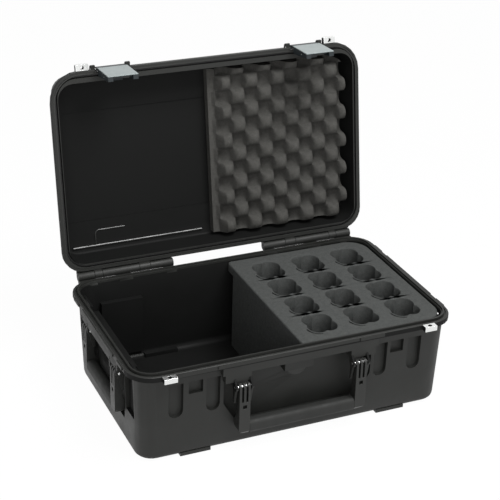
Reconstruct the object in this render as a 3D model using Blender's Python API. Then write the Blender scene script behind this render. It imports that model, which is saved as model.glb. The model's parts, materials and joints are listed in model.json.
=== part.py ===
"""Hard moulded case for twelve handheld microphones, modelled open at its lid stop.

Metres, +Z up. X runs along the case, Y to the hinge side, and Z is zero under the feet.
The origin lies under the middle of the open case.
The lid and all that rides on it are modelled closed and then turned about the hinge line.
"""
from collections import namedtuple
from math import atan2, cos, pi, radians, sin

import bmesh
import bpy
from mathutils import Matrix, Vector

# Clearances and overruns
CLEARANCE = 0.0003
RUNNING_GAP = 0.0008
OVERRUN = 0.0030

# Overall
RIM_LENGTH = 0.5588
RIM_DEPTH = 0.3400
RIM_HEIGHT = 0.1613
WALL = 0.0039
LID_OPEN_ANGLE = radians(98.7)
RIM_HALF_X = RIM_LENGTH / 2
RIM_HALF_Y = RIM_DEPTH / 2


def from_end(gaps):
    """Places along X, given as gaps to the end of the rim."""
    return tuple(RIM_HALF_X - gap for gap in gaps)


def from_face(gaps):
    """Places along Y, given as gaps to the front or back face of the rim."""
    return tuple(RIM_HALF_Y - gap for gap in gaps)


# Base body
FLANGE_HEIGHT = 0.0090
FLANGE_REACH = 0.0105
FLANGE_CORNER = 0.0430
FLANGE_BEVEL = 0.0010
BODY_CORNER = 0.0290
BOTTOM_RADIUS = 0.0088
DRAFT_SHARE = 0.031
FLOOR_THICKNESS = 0.0039
FLOOR_RADIUS = 0.0090
CORNER_STEPS = 6
EDGE_STEPS = 3
SHARP_ANGLE = radians(35)

# Feet
FOOT_HEIGHT = 0.0025
FOOT_LENGTH = 0.0510
FOOT_WIDTH = 0.0260
FOOT_END_GAP = 0.1069
FOOT_FACE_GAP = 0.0155
FOOT_CENTRE = RIM_HALF_X - FOOT_END_GAP
FOOT_FRONT = RIM_HALF_Y - FOOT_FACE_GAP
FOOT_ROOT = 0.0060

# Sealing tongue on the base rim and its groove
TONGUE_OFFSET = 0.0075
TONGUE_WIDTH = 0.0027
TONGUE_HEIGHT = 0.0030
GROOVE_WIDTH = 0.0030
GROOVE_DEPTH = 0.0020
RIM_WIDTH = 0.0123
LIP_HEIGHT = 0.0030

# Latch columns and grooves on the base front
INNER_GROOVE_END_GAPS = (0.1454, 0.1224)
OUTER_GROOVE_END_GAPS = (0.0844, 0.0604)
INNER_GROOVE = from_end(INNER_GROOVE_END_GAPS)
OUTER_GROOVE = from_end(OUTER_GROOVE_END_GAPS)
GROOVE_BAY_DEPTH = 0.0095
GROOVE_BAY_TOP = 0.0260
GROOVE_BAY_SLOPE = 0.0040
GROOVE_BAY_BOTTOM = 0.0870
CATCH_WIDTH = 0.0235
CATCH_TOP = 0.0258
CATCH_BOTTOM = 0.0478
CATCH_DEPTH = 0.0080
ARC_STEPS = 6

# Rear pockets, which stand as steps inside the rear wall
REAR_POCKET_END_GAPS = (0.1234, 0.0574)
REAR_POCKET = from_end(REAR_POCKET_END_GAPS)
REAR_POCKET_DEPTH = 0.0105
REAR_POCKET_TOP = 0.0420
REAR_POCKET_BOTTOM = 0.1390
REAR_LEDGE_END_GAPS = (0.1894, 0.1294)
REAR_LEDGE = from_end(REAR_LEDGE_END_GAPS)
REAR_LEDGE_HEIGHT = 0.0070
REAR_LEDGE_DEPTH = 0.0110

# Pockets in the sides next to the side handles
SIDE_POCKET_FACE_GAPS = (0.0730, 0.0370)
SIDE_POCKET = from_face(SIDE_POCKET_FACE_GAPS)
SIDE_POCKET_TOP = 0.0090
SIDE_POCKET_BOTTOM = 0.0900
SIDE_POCKET_DEPTH = 0.0085

# Thin raised strips on the flange faces
STRIP_HEIGHT = 0.0050
STRIP_PROUD = 0.0020
STRIP_DROP = 0.0014
FRONT_STRIP_END_GAPS = (0.1794, 0.1364)
SIDE_STRIP_FACE_GAP = 0.0930
SIDE_STRIP_END_FACE_GAPS = (0.0740, 0.0490)
FRONT_STRIP = from_end(FRONT_STRIP_END_GAPS)
SIDE_STRIP_HALF = RIM_HALF_Y - SIDE_STRIP_FACE_GAP
SIDE_STRIP_END = from_face(SIDE_STRIP_END_FACE_GAPS)

# Padlock bosses and steel plates
PADLOCK_END_GAP = 0.0564
PADLOCK_CENTRE = RIM_HALF_X - PADLOCK_END_GAP
PADLOCK_REACH = 0.0110
PADLOCK_LUG_HEIGHT = 0.0085
PADLOCK_PLATE_WIDTH = 0.0215
PADLOCK_PLATE_THICKNESS = 0.0014
PADLOCK_HOLE_REACH = 0.0056
PADLOCK_HOLE_RADIUS = 0.0036
PADLOCK_BORE_RADIUS = 0.0033

# Pressure valve on the back wall of the front handle bay
VALVE_POCKET_RADIUS = 0.0210
VALVE_POCKET_DEPTH = 0.0115
VALVE_BOSS_RADIUS = 0.0195
VALVE_BOSS_HEIGHT = 0.0045
VALVE_DROP = 0.0420
VALVE_BODY_RADIUS = 0.0180
VALVE_BODY_HEIGHT = 0.0020
VALVE_CAP_RADIUS = 0.0165
VALVE_CAP_HEIGHT = 0.0018
ROUND_STEPS = 24

# Hinge
HINGE_STANDOFF = 0.0088
HINGE_RISE = 0.0032
HINGE_BARREL_RADIUS = 0.0075
HINGE_PIN_RADIUS = 0.0025
HINGE_CRADLE_DEPTH = 0.0060
HINGE_CRADLE_HEIGHT = 0.0075
HINGE_SLEEVE_ROOT = 0.0020
HINGE_GUSSET_DROP = 0.0340
HINGE_GUSSET_TOE = 0.0060
BASE_KNUCKLE_END_GAPS = ((0.1934, 0.1754), (0.1144, 0.0904), (0.0514, 0.0234))
LID_KNUCKLE_END_GAPS = ((0.1514, 0.1324), (0.0654, 0.0522))
HINGE_BASE_KNUCKLES = tuple(from_end(gaps) for gaps in BASE_KNUCKLE_END_GAPS)
HINGE_LID_KNUCKLES = tuple(from_end(gaps) for gaps in LID_KNUCKLE_END_GAPS)
BARREL_STEPS = 14

# Lid
LID_FLANGE_HEIGHT = 0.0080
LID_FRONT_CORNER = 0.0500
LID_REAR_CORNER = 0.0360
LID_HEIGHT = 0.0540
LID_TOP_RADIUS = 0.0160
LID_BODY_CORNER = 0.0300
LID_INNER_DEPTH = 0.0500
LID_INNER_CORNER = 0.0260
LID_INNER_RADIUS = 0.0040
LID_DRAFT_SHARE = 0.062
LID_FRONT_RIM = 0.0190
LID_REAR_RIM = 0.0135
LID_STEP = 0.0025
LID_STEP_FRONT_GAP = 0.0770
LID_STEP_REAR_GAP = 0.0730
LID_STEP_END_GAP = 0.0294
LID_STEP_FRONT = RIM_HALF_Y - LID_STEP_FRONT_GAP
LID_STEP_REAR = RIM_HALF_Y - LID_STEP_REAR_GAP
LID_STEP_END = RIM_HALF_X - LID_STEP_END_GAP
LID_PAD_END_GAP = 0.0494
LID_PAD_FACE_GAP = 0.0820
LID_PAD_HALF_LENGTH = RIM_HALF_X - LID_PAD_END_GAP
LID_PAD_HALF_DEPTH = RIM_HALF_Y - LID_PAD_FACE_GAP
LID_PAD_HEIGHT = 0.0030
LID_RIB_END_GAPS = (0.1894, 0.0744)
LID_RIB_CENTRES = from_end(LID_RIB_END_GAPS)
LID_RIB_WIDTH = 0.0180
LID_RIB_HEIGHT = 0.0045
LID_RIB_FACE_GAP = 0.0450
LID_RIB_HALF_DEPTH = RIM_HALF_Y - LID_RIB_FACE_GAP
LID_SIDE_PAD_FACE_GAP = 0.0870
LID_SIDE_PAD_HALF = RIM_HALF_Y - LID_SIDE_PAD_FACE_GAP
LID_SIDE_PAD_PROUD = 0.0040
LID_SIDE_PAD_TOP = 0.0330
SEAL_GROOVE_DEPTH = 0.0065
SEAL_GROOVE_SIDE = 0.0010
GASKET_HEIGHT = 0.0024

# Latches, in the closed position
LATCH_END_GAP = 0.1049
LATCH_CENTRE = RIM_HALF_X - LATCH_END_GAP
LATCH_WIDTH = 0.0510
LATCH_PIVOT_STANDOFF = 0.0004
LATCH_PIVOT_RISE = 0.0040
LATCH_BARREL_RADIUS = 0.0037
LATCH_PIN_RADIUS = 0.0016
LATCH_NECK_INNER = 0.0006
LATCH_NECK_OUTER = 0.0036
LATCH_SLOT_WIDTH = 0.0340
LATCH_SLOT_TOP = 0.0170
LATCH_INNER_TOP = 0.0093
LATCH_INNER_TIP = 0.0103
LATCH_EAR_WIDTH = 0.0070
LATCH_EAR_GAP = 0.0010
LATCH_EAR_RADIUS = 0.0070
LATCH_EAR_ROOT = 0.0060
LATCH_EAR_ARC_START = radians(212.4)
LATCH_NOTCH_DEPTH = 0.0043
PLATE_TOP_DROP = 0.0130
PLATE_TIP_DROP = 0.0670
PLATE_TOP_OUT = 0.0039
PLATE_TIP_IN = 0.0014
PLATE_THICKNESS = 0.0015
TRIGGER_PIVOT_DROP = 0.0450
TRIGGER_PIVOT_IN = 0.0060
TRIGGER_BARREL_RADIUS = 0.0024
TRIGGER_PIN_RADIUS = 0.0012
TRIGGER_ARM = 0.0026
TRIGGER_SIDE_GAP = 0.0008
TRIGGER_TAIL_DROP = 0.0620
TRIGGER_TAIL_IN = 0.0030
HOOK_WIDTH = 0.0190
HOOK_TOP_GAP = 0.0012
HOOK_THICKNESS = 0.0045
HOOK_REACH = 0.0049

# Handles: drops are measured below the rim, reaches beyond the flange face
Handle = namedtuple("Handle", (
    "name", "turn", "face", "arm_centre", "arm_width", "pivot_drop", "pivot_reach", "bar_drop",
    "bar_depth", "bay_half", "bay_foot_half", "bay_shoulder_drop", "bay_bottom_drop",
    "band_half", "band_drop", "column_drop"))
ARM_FRONT = 0.0070
ARM_REAR = 0.0060
BAR_HEIGHT = 0.0220
CORE_SIZE = 0.0110
GRIP_RADIUS = 0.0070
EAR_THICKNESS = 0.0035
EAR_GAP = 0.0022
EAR_RADIUS = 0.0064
EAR_TAIL = 0.0300
EAR_ROOT = 0.0060
EAR_ARC_END = radians(243)
HANDLE_PIN_RADIUS = 0.0026
BAY_DEPTH = 0.0180
BAND_SETBACK = 0.0004
TINE_SLOT_WIDTH = 0.0034
TINE_SLOT_DEPTH = 0.0070
TINE_SLOT_TOP = -0.0080
TINE_SLOT_HEIGHT = 0.0340
TINE_SLOT_OFFSET = 0.0036
ARM_HOLE_SIZE = 0.0066
ARM_HOLE_DROP = 0.0345
HANDLE_CORNER = 0.0120
FRONT_ARM_END_GAP = 0.1784
FRONT_ARM_WIDTH = 0.0185
FRONT_PIVOT_DROP = 0.0438
FRONT_PIVOT_REACH = 0.0030
FRONT_BAR_DROP = 0.1178
FRONT_BAR_DEPTH = 0.0200
FRONT_BAY_END_GAP = 0.1514
FRONT_BAY_FOOT_END_GAP = 0.1764
FRONT_BAY_SHOULDER_DROP = 0.0788
FRONT_BAY_BOTTOM_DROP = 0.1208
FRONT_BAND_DROP = 0.0225
FRONT_COLUMN_DROP = 0.0362
SIDE_ARM_FACE_GAP = 0.0985
SIDE_ARM_WIDTH = 0.0210
SIDE_PIVOT_DROP = 0.0330
SIDE_PIVOT_SETBACK = 0.0064
SIDE_BAR_DROP = 0.0990
SIDE_BAR_DEPTH = 0.0170
SIDE_BAY_FACE_GAP = 0.0780
SIDE_BAY_FOOT_FACE_GAP = 0.0840
SIDE_BAY_SHOULDER_DROP = 0.0880
SIDE_BAY_BOTTOM_DROP = 0.1150
SIDE_BAND_FACE_GAP = 0.0760
SIDE_BAND_DROP = 0.0240
FRONT_HANDLE = Handle(
    "front_handle", 0.0, RIM_HALF_Y, RIM_HALF_X - FRONT_ARM_END_GAP, FRONT_ARM_WIDTH,
    FRONT_PIVOT_DROP, FRONT_PIVOT_REACH, FRONT_BAR_DROP, FRONT_BAR_DEPTH,
    RIM_HALF_X - FRONT_BAY_END_GAP, RIM_HALF_X - FRONT_BAY_FOOT_END_GAP,
    FRONT_BAY_SHOULDER_DROP, FRONT_BAY_BOTTOM_DROP, INNER_GROOVE[0], FRONT_BAND_DROP,
    FRONT_COLUMN_DROP)
LEFT_HANDLE = Handle(
    "left_handle", -pi / 2, RIM_HALF_X, RIM_HALF_Y - SIDE_ARM_FACE_GAP, SIDE_ARM_WIDTH,
    SIDE_PIVOT_DROP, -SIDE_PIVOT_SETBACK, SIDE_BAR_DROP, SIDE_BAR_DEPTH,
    RIM_HALF_Y - SIDE_BAY_FACE_GAP, RIM_HALF_Y - SIDE_BAY_FOOT_FACE_GAP,
    SIDE_BAY_SHOULDER_DROP, SIDE_BAY_BOTTOM_DROP, RIM_HALF_Y - SIDE_BAND_FACE_GAP,
    SIDE_BAND_DROP, SIDE_BAND_DROP)
RIGHT_HANDLE = LEFT_HANDLE._replace(name="right_handle", turn=pi / 2)
HANDLES = (FRONT_HANDLE, LEFT_HANDLE, RIGHT_HANDLE)

# Microphone foam block
FOAM_LEFT = 0.0060
FOAM_TOP_DROP = 0.0010
FOAM_CAP_THICKNESS = 0.0150
FOAM_SIDE_CLEARANCE = 0.0006
FOAM_REAR_GAP = 0.0180
FOAM_REAR = RIM_HALF_Y - FOAM_REAR_GAP
FOAM_CORNER = 0.0330
FOAM_CUT_CORNER = 0.0030
SOCKET_COLUMN_SHARES = (0.2183, 0.4885, 0.7606)
SOCKET_ROW_SHARES = (-0.597, -0.206, 0.194, 0.585)
SOCKET_DEPTH = 0.1000
SOCKET_LOBE_RADIUS = 0.0145
SOCKET_LOBE_OFFSET = 0.0163
SOCKET_LOBE_STEPS = 6

# Convoluted foam in the lid
CRATE_LEFT = 0.0050
CRATE_END_GAP = 0.0219
CRATE_FRONT_GAP = 0.0270
CRATE_REAR_GAP = 0.0220
CRATE_RIGHT = RIM_HALF_X - CRATE_END_GAP
CRATE_FRONT = CRATE_FRONT_GAP - RIM_HALF_Y
CRATE_REAR = RIM_HALF_Y - CRATE_REAR_GAP
CRATE_PITCH = 0.0254
CRATE_STEPS_PER_PITCH = 3
CRATE_VALLEY = 0.0180
CRATE_PEAK = 0.0380

# Worked out from the sizes above
FLANGE_BOTTOM = RIM_HEIGHT - FLANGE_HEIGHT
FLOOR_TOP = FOOT_HEIGHT + FLOOR_THICKNESS
HINGE_Y = RIM_HALF_Y + HINGE_STANDOFF
HINGE_Z = RIM_HEIGHT + HINGE_RISE
LID_RIM = RIM_HEIGHT + CLEARANCE
LATCH_PIVOT_Y = -(RIM_HALF_Y + LATCH_PIVOT_STANDOFF)
LATCH_PIVOT_Z = RIM_HEIGHT + LATCH_PIVOT_RISE
TRIGGER_PIVOT_Y = LATCH_PIVOT_Y + TRIGGER_PIVOT_IN
TRIGGER_PIVOT_Z = LATCH_PIVOT_Z - TRIGGER_PIVOT_DROP
AXIS_HOMES = {}


def finish(name, colour, roughness, metallic):
    """One Principled material with a plain colour."""
    material = bpy.data.materials.get(name) or bpy.data.materials.new(name)
    material.use_nodes = True
    shader = material.node_tree.nodes["Principled BSDF"]
    shader.inputs["Base Color"].default_value = (*colour, 1.0)
    shader.inputs["Roughness"].default_value = roughness
    shader.inputs["Metallic"].default_value = metallic
    return material


def case_polymer():
    return finish("case_polymer", (0.040, 0.041, 0.038), 0.55, 0.0)


def grip_rubber():
    return finish("grip_rubber", (0.030, 0.031, 0.029), 0.70, 0.0)


def latch_polymer():
    return finish("latch_polymer", (0.018, 0.022, 0.026), 0.50, 0.0)


def plate_grey():
    return finish("plate_grey", (0.350, 0.380, 0.380), 0.40, 0.0)


def plate_steel():
    return finish("plate_steel", (0.720, 0.730, 0.720), 0.25, 1.0)


def pin_black():
    return finish("pin_black", (0.020, 0.020, 0.021), 0.45, 0.8)


def foam_charcoal():
    return finish("foam_charcoal", (0.065, 0.067, 0.066), 0.95, 0.0)


def seal_rubber():
    return finish("seal_rubber", (0.020, 0.020, 0.020), 0.65, 0.0)


def new_solid(name, points, faces, material=None, turn=0.0):
    """A closed mesh object from points and faces, turned about the world's Z axis."""
    mesh = bpy.data.meshes.new(name)
    mesh.from_pydata(points, [], faces)
    if turn:
        mesh.transform(Matrix.Rotation(turn, 4, "Z"))
    shape = bmesh.new()
    shape.from_mesh(mesh)
    bmesh.ops.recalc_face_normals(shape, faces=shape.faces)
    shape.to_mesh(mesh)
    shape.free()
    solid = bpy.data.objects.new(name, mesh)
    if material:
        mesh.materials.append(material)
    bpy.context.scene.collection.objects.link(solid)
    return solid


def loft(name, rings, material=None, turn=0.0, endless=False):
    """Skin equal rings of points in order, capped at both ends or joined into a loop."""
    count = len(rings[0])
    points = [point for ring in rings for point in ring]
    pairs = list(zip(range(len(rings)), range(1, len(rings))))
    faces = []
    if endless:
        pairs.append((len(rings) - 1, 0))
    else:
        faces.append([*range(count)])
        faces.append([(len(rings) - 1) * count + step for step in range(count)])
    for lower, upper in pairs:
        for step in range(count):
            after = (step + 1) % count
            faces.append((lower * count + step, lower * count + after,
                          upper * count + after, upper * count + step))
    return new_solid(name, points, faces, material, turn)


def prism_x(name, outline, start, end, material=None, turn=0.0):
    """Extrude an outline of (y, z) points along X."""
    rings = [[(place, y, z) for y, z in outline] for place in (start, end)]
    return loft(name, rings, material, turn)


def prism_y(name, outline, start, end, material=None, turn=0.0):
    """Extrude an outline of (x, z) points along Y."""
    rings = [[(x, place, z) for x, z in outline] for place in (start, end)]
    return loft(name, rings, material, turn)


def prism_z(name, outline, start, end, material=None, turn=0.0):
    """Extrude an outline of (x, y) points along Z."""
    rings = [[(x, y, place) for x, y in outline] for place in (start, end)]
    return loft(name, rings, material, turn)


def block(name, xs, ys, zs, material=None, turn=0.0):
    """A box between two values on each axis."""
    outline = [(xs[0], ys[0]), (xs[1], ys[0]), (xs[1], ys[1]), (xs[0], ys[1])]
    return prism_z(name, outline, zs[0], zs[1], material, turn)


def arc(centre, radius, start, end, steps):
    """Points on an arc about centre, both ends included."""
    angles = [start + (end - start) * step / steps for step in range(steps + 1)]
    return [(centre[0] + radius * cos(angle), centre[1] + radius * sin(angle))
            for angle in angles]


def circle(centre, radius, steps):
    return arc(centre, radius, 0.0, 2 * pi, steps)[:-1]


def rod_x(name, centre, radius, start, end, material=None, turn=0.0, steps=BARREL_STEPS):
    """A round rod along X about centre (y, z)."""
    return prism_x(name, circle(centre, radius, steps), start, end, material, turn)


def rounded_outline(west, east, south, north, radii):
    """A rectangle with corner radii in the order south-east, north-east, north-west, south-west."""
    south_east, north_east, north_west, south_west = radii
    corners = (
        ((east - south_east, south + south_east), south_east, -pi / 2),
        ((east - north_east, north - north_east), north_east, 0.0),
        ((west + north_west, north - north_west), north_west, pi / 2),
        ((west + south_west, south + south_west), south_west, pi))
    points = []
    for centre, radius, start in corners:
        points += arc(centre, radius, start, start + pi / 2, CORNER_STEPS)
    return points


def even_ring(inset, radius, height):
    """A ring inside the flange outline, at a height."""
    outline = rounded_outline(inset - RIM_HALF_X, RIM_HALF_X - inset,
                              inset - RIM_HALF_Y, RIM_HALF_Y - inset, (radius,) * 4)
    return [(x, y, height) for x, y in outline]


def combine(target, tool, operation):
    """Join or cut target with tool and keep only the result."""
    modifier = target.modifiers.new(tool.name, "BOOLEAN")
    modifier.operation = operation
    modifier.solver = "EXACT"
    modifier.object = tool
    bpy.context.view_layer.update()
    graph = bpy.context.evaluated_depsgraph_get()
    result = bpy.data.meshes.new_from_object(target.evaluated_get(graph))
    target.modifiers.clear()
    before = target.data
    target.data = result
    result.name = target.name
    bpy.data.meshes.remove(before)
    used = tool.data
    bpy.data.objects.remove(tool)
    bpy.data.meshes.remove(used)


def join(target, tool):
    combine(target, tool, "UNION")


def cut(target, tool):
    combine(target, tool, "DIFFERENCE")


def place_on_axis(solid, home, axis=None):
    """Give a solid its origin at home, under an axis if there is one."""
    solid.data.transform(Matrix.Translation(-Vector(home)))
    solid.location = home
    if axis:
        solid.parent = axis
        solid.location = Vector(home) - AXIS_HOMES[axis.name]


def axis_empty(name, home, parent=None):
    """An empty on a joint's axis, placed while the case is closed."""
    empty = bpy.data.objects.new(name, None)
    bpy.context.scene.collection.objects.link(empty)
    AXIS_HOMES[name] = Vector(home)
    empty.location = home
    if parent:
        empty.parent = parent
        empty.location = AXIS_HOMES[name] - AXIS_HOMES[parent.name]
    return empty


def body_inset(height):
    """How far the tapered body stands inside the flange outline at a height."""
    return FLANGE_REACH + DRAFT_SHARE * (FLANGE_BOTTOM - height)


def base_rings():
    """Outer skin from the bottom up, over the rim, and down the inner skin to the floor."""
    rings = []
    for step in range(EDGE_STEPS + 1):
        angle = pi / 2 * step / EDGE_STEPS
        height = FOOT_HEIGHT + BOTTOM_RADIUS * (1 - cos(angle))
        pull = BOTTOM_RADIUS * (1 - sin(angle))
        rings.append(even_ring(body_inset(height) + pull, BODY_CORNER - pull, height))
    rings.append(even_ring(FLANGE_REACH, BODY_CORNER, FLANGE_BOTTOM - FLANGE_BEVEL))
    rings.append(even_ring(0.0, FLANGE_CORNER, FLANGE_BOTTOM))
    rings.append(even_ring(0.0, FLANGE_CORNER, RIM_HEIGHT - FLANGE_BEVEL))
    rings.append(even_ring(FLANGE_BEVEL, FLANGE_CORNER - FLANGE_BEVEL, RIM_HEIGHT))
    tongue_inner = TONGUE_OFFSET + TONGUE_WIDTH
    steps = (
        (TONGUE_OFFSET - GROOVE_WIDTH, RIM_HEIGHT),
        (TONGUE_OFFSET - GROOVE_WIDTH, RIM_HEIGHT - GROOVE_DEPTH),
        (TONGUE_OFFSET, RIM_HEIGHT - GROOVE_DEPTH),
        (TONGUE_OFFSET, RIM_HEIGHT + TONGUE_HEIGHT),
        (tongue_inner, RIM_HEIGHT + TONGUE_HEIGHT),
        (tongue_inner, RIM_HEIGHT),
        (RIM_WIDTH, RIM_HEIGHT),
        (RIM_WIDTH, RIM_HEIGHT - LIP_HEIGHT))
    for inset, height in steps:
        rings.append(even_ring(inset, FLANGE_CORNER - inset, height))
    rings.append(even_ring(body_inset(FLANGE_BOTTOM) + WALL, BODY_CORNER - WALL, FLANGE_BOTTOM))
    for step in range(EDGE_STEPS + 1):
        angle = pi / 2 * step / EDGE_STEPS
        height = FLOOR_TOP + FLOOR_RADIUS * (1 - sin(angle))
        pull = FLOOR_RADIUS * (1 - cos(angle))
        rings.append(even_ring(body_inset(height) + WALL + pull,
                               BODY_CORNER - WALL - pull, height))
    return rings


def back_block(name, half_face, spread, drops, depth, turn):
    """Fill behind a recess, from inside the drafted wall to a wall's thickness past its floor."""
    top = RIM_HEIGHT - drops[0] + WALL
    bottom = RIM_HEIGHT - drops[1] - WALL
    inner = half_face - FLANGE_REACH - depth - WALL
    outline = [(-inner, bottom), (-inner, top),
               (body_inset(top) + WALL / 2 - half_face, top),
               (body_inset(bottom) + WALL / 2 - half_face, bottom)]
    return prism_x(name, outline, spread[0], spread[1], None, turn)


def mirrored(spread):
    """A span on the +X side and its mirror image."""
    return (spread, (-spread[1], -spread[0]))


def add_handle_bay(shell, handle):
    """Deepen the wall behind a handle, hang the band over it and cut the bay."""
    turn = handle.turn
    half = handle.bay_half
    drops = (handle.band_drop, handle.bay_bottom_drop)
    join(shell, back_block("bay_back", handle.face, (-half - WALL, half + WALL), drops,
                           BAY_DEPTH, turn))
    band_top = FLANGE_BOTTOM + FLANGE_HEIGHT / 2
    band_bottom = RIM_HEIGHT - handle.band_drop
    join(shell, block("bay_band", (-handle.band_half, handle.band_half),
                      (BAND_SETBACK - handle.face, body_inset(band_bottom) + WALL / 2 - handle.face),
                      (band_bottom, band_top), None, turn))
    top = band_bottom + CLEARANCE
    shoulder = RIM_HEIGHT - handle.bay_shoulder_drop
    bottom = RIM_HEIGHT - handle.bay_bottom_drop
    foot = handle.bay_foot_half
    outline = [(-half, top), (half, top), (half, shoulder), (foot, bottom), (-foot, bottom),
               (-half, shoulder)]
    cut(shell, prism_y("bay_cut", outline, -handle.face - OVERRUN,
                       FLANGE_REACH + BAY_DEPTH - handle.face, None, turn))
    if handle.column_drop > handle.band_drop:
        inner = ear_spans(handle)[0][0]
        for span in mirrored((inner, half + WALL / 2)):
            join(shell, block("column", span,
                              (BAND_SETBACK - handle.face,
                               body_inset(band_bottom) + WALL / 2 - handle.face),
                              (RIM_HEIGHT - handle.column_drop, band_bottom + EAR_ROOT), None, turn))


def handle_pivot(handle):
    """Pivot line of a handle as (y, z) in the frame of the front wall."""
    return (-handle.face - handle.pivot_reach, RIM_HEIGHT - handle.pivot_drop)


def ear_spans(handle):
    """Spans along the wall of the two ears beside the arm on the +X side."""
    inner = handle.arm_centre - handle.arm_width / 2 - EAR_GAP
    outer = handle.arm_centre + handle.arm_width / 2 + EAR_GAP
    return ((inner - EAR_THICKNESS, inner), (outer, outer + EAR_THICKNESS))


def add_handle_ears(shell, handle):
    """Ears that carry the handle pins, hung from the band above the bay or its columns."""
    pivot = handle_pivot(handle)
    band_bottom = RIM_HEIGHT - handle.column_drop
    root = body_inset(band_bottom) + WALL / 2 - handle.face
    outline = [(root, band_bottom + EAR_ROOT), (BAND_SETBACK + CLEARANCE - handle.face,
                                                band_bottom + EAR_ROOT)]
    if handle.pivot_reach < 0:
        outline = [(root, band_bottom + EAR_ROOT), (pivot[0] - EAR_RADIUS, band_bottom + EAR_ROOT)]
    outline += arc(pivot, EAR_RADIUS, pi, EAR_ARC_END, EDGE_STEPS)
    outline += [(pivot[0] + EAR_RADIUS / 2, pivot[1] - EAR_TAIL),
                (pivot[0] + EAR_RADIUS, pivot[1] - EAR_TAIL),
                (pivot[0] + EAR_RADIUS, pivot[1] - EAR_RADIUS)]
    for ear in ear_spans(handle):
        for span in mirrored(ear):
            join(shell, prism_x("ear", outline, span[0], span[1], None, handle.turn))
    bore = HANDLE_PIN_RADIUS + CLEARANCE
    reach = ear_spans(handle)[1][1] + OVERRUN
    start = ear_spans(handle)[0][0] - OVERRUN
    for span in mirrored((start, reach)):
        cut(shell, rod_x("ear_bore", pivot, bore, span[0], span[1], None, handle.turn))


def groove_outline(spread, top):
    """A groove with a rounded foot, as (x, z) points."""
    centre = (spread[0] + spread[1]) / 2
    radius = (spread[1] - spread[0]) / 2
    bottom = RIM_HEIGHT - GROOVE_BAY_BOTTOM + radius
    foot = arc((centre, bottom), radius, pi, 2 * pi, ARC_STEPS)
    return [(spread[1], top), (spread[0], top)] + foot


def add_latch_columns(shell):
    """Grooves beside each latch column, and the catch pocket in it."""
    floor = FLANGE_REACH + GROOVE_BAY_DEPTH - RIM_HALF_Y
    face = -RIM_HALF_Y - OVERRUN
    top = RIM_HEIGHT - GROOVE_BAY_TOP
    drops = (GROOVE_BAY_TOP, GROOVE_BAY_BOTTOM)
    back = (INNER_GROOVE[0] - WALL, OUTER_GROOVE[1] + WALL)
    for span in mirrored(back):
        join(shell, back_block("column_back", RIM_HALF_Y, span, drops, GROOVE_BAY_DEPTH, 0.0))
    body_front = FLANGE_REACH - RIM_HALF_Y
    for groove in (INNER_GROOVE, OUTER_GROOVE):
        for span in mirrored(groove):
            rings = [[(x, place, z) for x, z in groove_outline(span, height)]
                     for place, height in ((floor, top - GROOVE_BAY_SLOPE), (body_front, top),
                                           (face, top))]
            cut(shell, loft("groove", rings))
    for side in (-1, 1):
        centre = side * LATCH_CENTRE
        cut(shell, block("catch", (centre - CATCH_WIDTH / 2, centre + CATCH_WIDTH / 2),
                         (face, body_front + CATCH_DEPTH),
                         (RIM_HEIGHT - CATCH_BOTTOM, RIM_HEIGHT - CATCH_TOP)))


def add_rear_pockets(shell):
    """Pockets under the hinges, and the low ledge that stiffens the floor between them."""
    drops = (REAR_POCKET_TOP, REAR_POCKET_BOTTOM)
    for span in mirrored(REAR_POCKET):
        wide = (span[0] - WALL, span[1] + WALL)
        join(shell, back_block("pocket_back", RIM_HALF_Y, wide, drops, REAR_POCKET_DEPTH, pi))
        cut(shell, block("rear_pocket", span,
                         (RIM_HALF_Y - FLANGE_REACH - REAR_POCKET_DEPTH, RIM_HALF_Y + OVERRUN),
                         (RIM_HEIGHT - REAR_POCKET_BOTTOM, RIM_HEIGHT - REAR_POCKET_TOP)))
    inner = RIM_HALF_Y - body_inset(FLOOR_TOP) - WALL
    for span in mirrored(REAR_LEDGE):
        join(shell, block("rear_ledge", span, (inner - REAR_LEDGE_DEPTH, inner + WALL / 2),
                          (FLOOR_TOP - FLOOR_THICKNESS / 2, FLOOR_TOP + REAR_LEDGE_HEIGHT)))


def add_side_pockets(shell):
    """Shallow pockets beside each side handle, and the blocks behind them."""
    drops = (SIDE_POCKET_TOP, SIDE_POCKET_BOTTOM)
    for turn in (-pi / 2, pi / 2):
        for wide in mirrored((SIDE_POCKET[0] - WALL, SIDE_POCKET[1] + WALL / 2)):
            join(shell, back_block("side_back", RIM_HALF_X, wide,
                                   (drops[0] + WALL, drops[1]), SIDE_POCKET_DEPTH, turn))
        for span in mirrored(SIDE_POCKET):
            cut(shell, block("side_pocket", span,
                             (-RIM_HALF_X - OVERRUN, FLANGE_REACH + SIDE_POCKET_DEPTH - RIM_HALF_X),
                             (RIM_HEIGHT - SIDE_POCKET_BOTTOM, FLANGE_BOTTOM + CLEARANCE), None, turn))


def add_flange_strips(shell):
    """Thin raised strips on the flange faces."""
    top = RIM_HEIGHT - STRIP_DROP
    heights = (top - STRIP_HEIGHT, top)
    depth = (-RIM_HALF_Y - STRIP_PROUD, -RIM_HALF_Y + FLANGE_BEVEL)
    for span in mirrored(FRONT_STRIP):
        join(shell, block("front_strip", span, depth, heights))
    depth = (-RIM_HALF_X - STRIP_PROUD, -RIM_HALF_X + FLANGE_BEVEL)
    spans = ((-SIDE_STRIP_HALF, SIDE_STRIP_HALF), *mirrored(SIDE_STRIP_END))
    for turn in (-pi / 2, pi / 2):
        for span in spans:
            join(shell, block("side_strip", span, depth, heights, None, turn))


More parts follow.
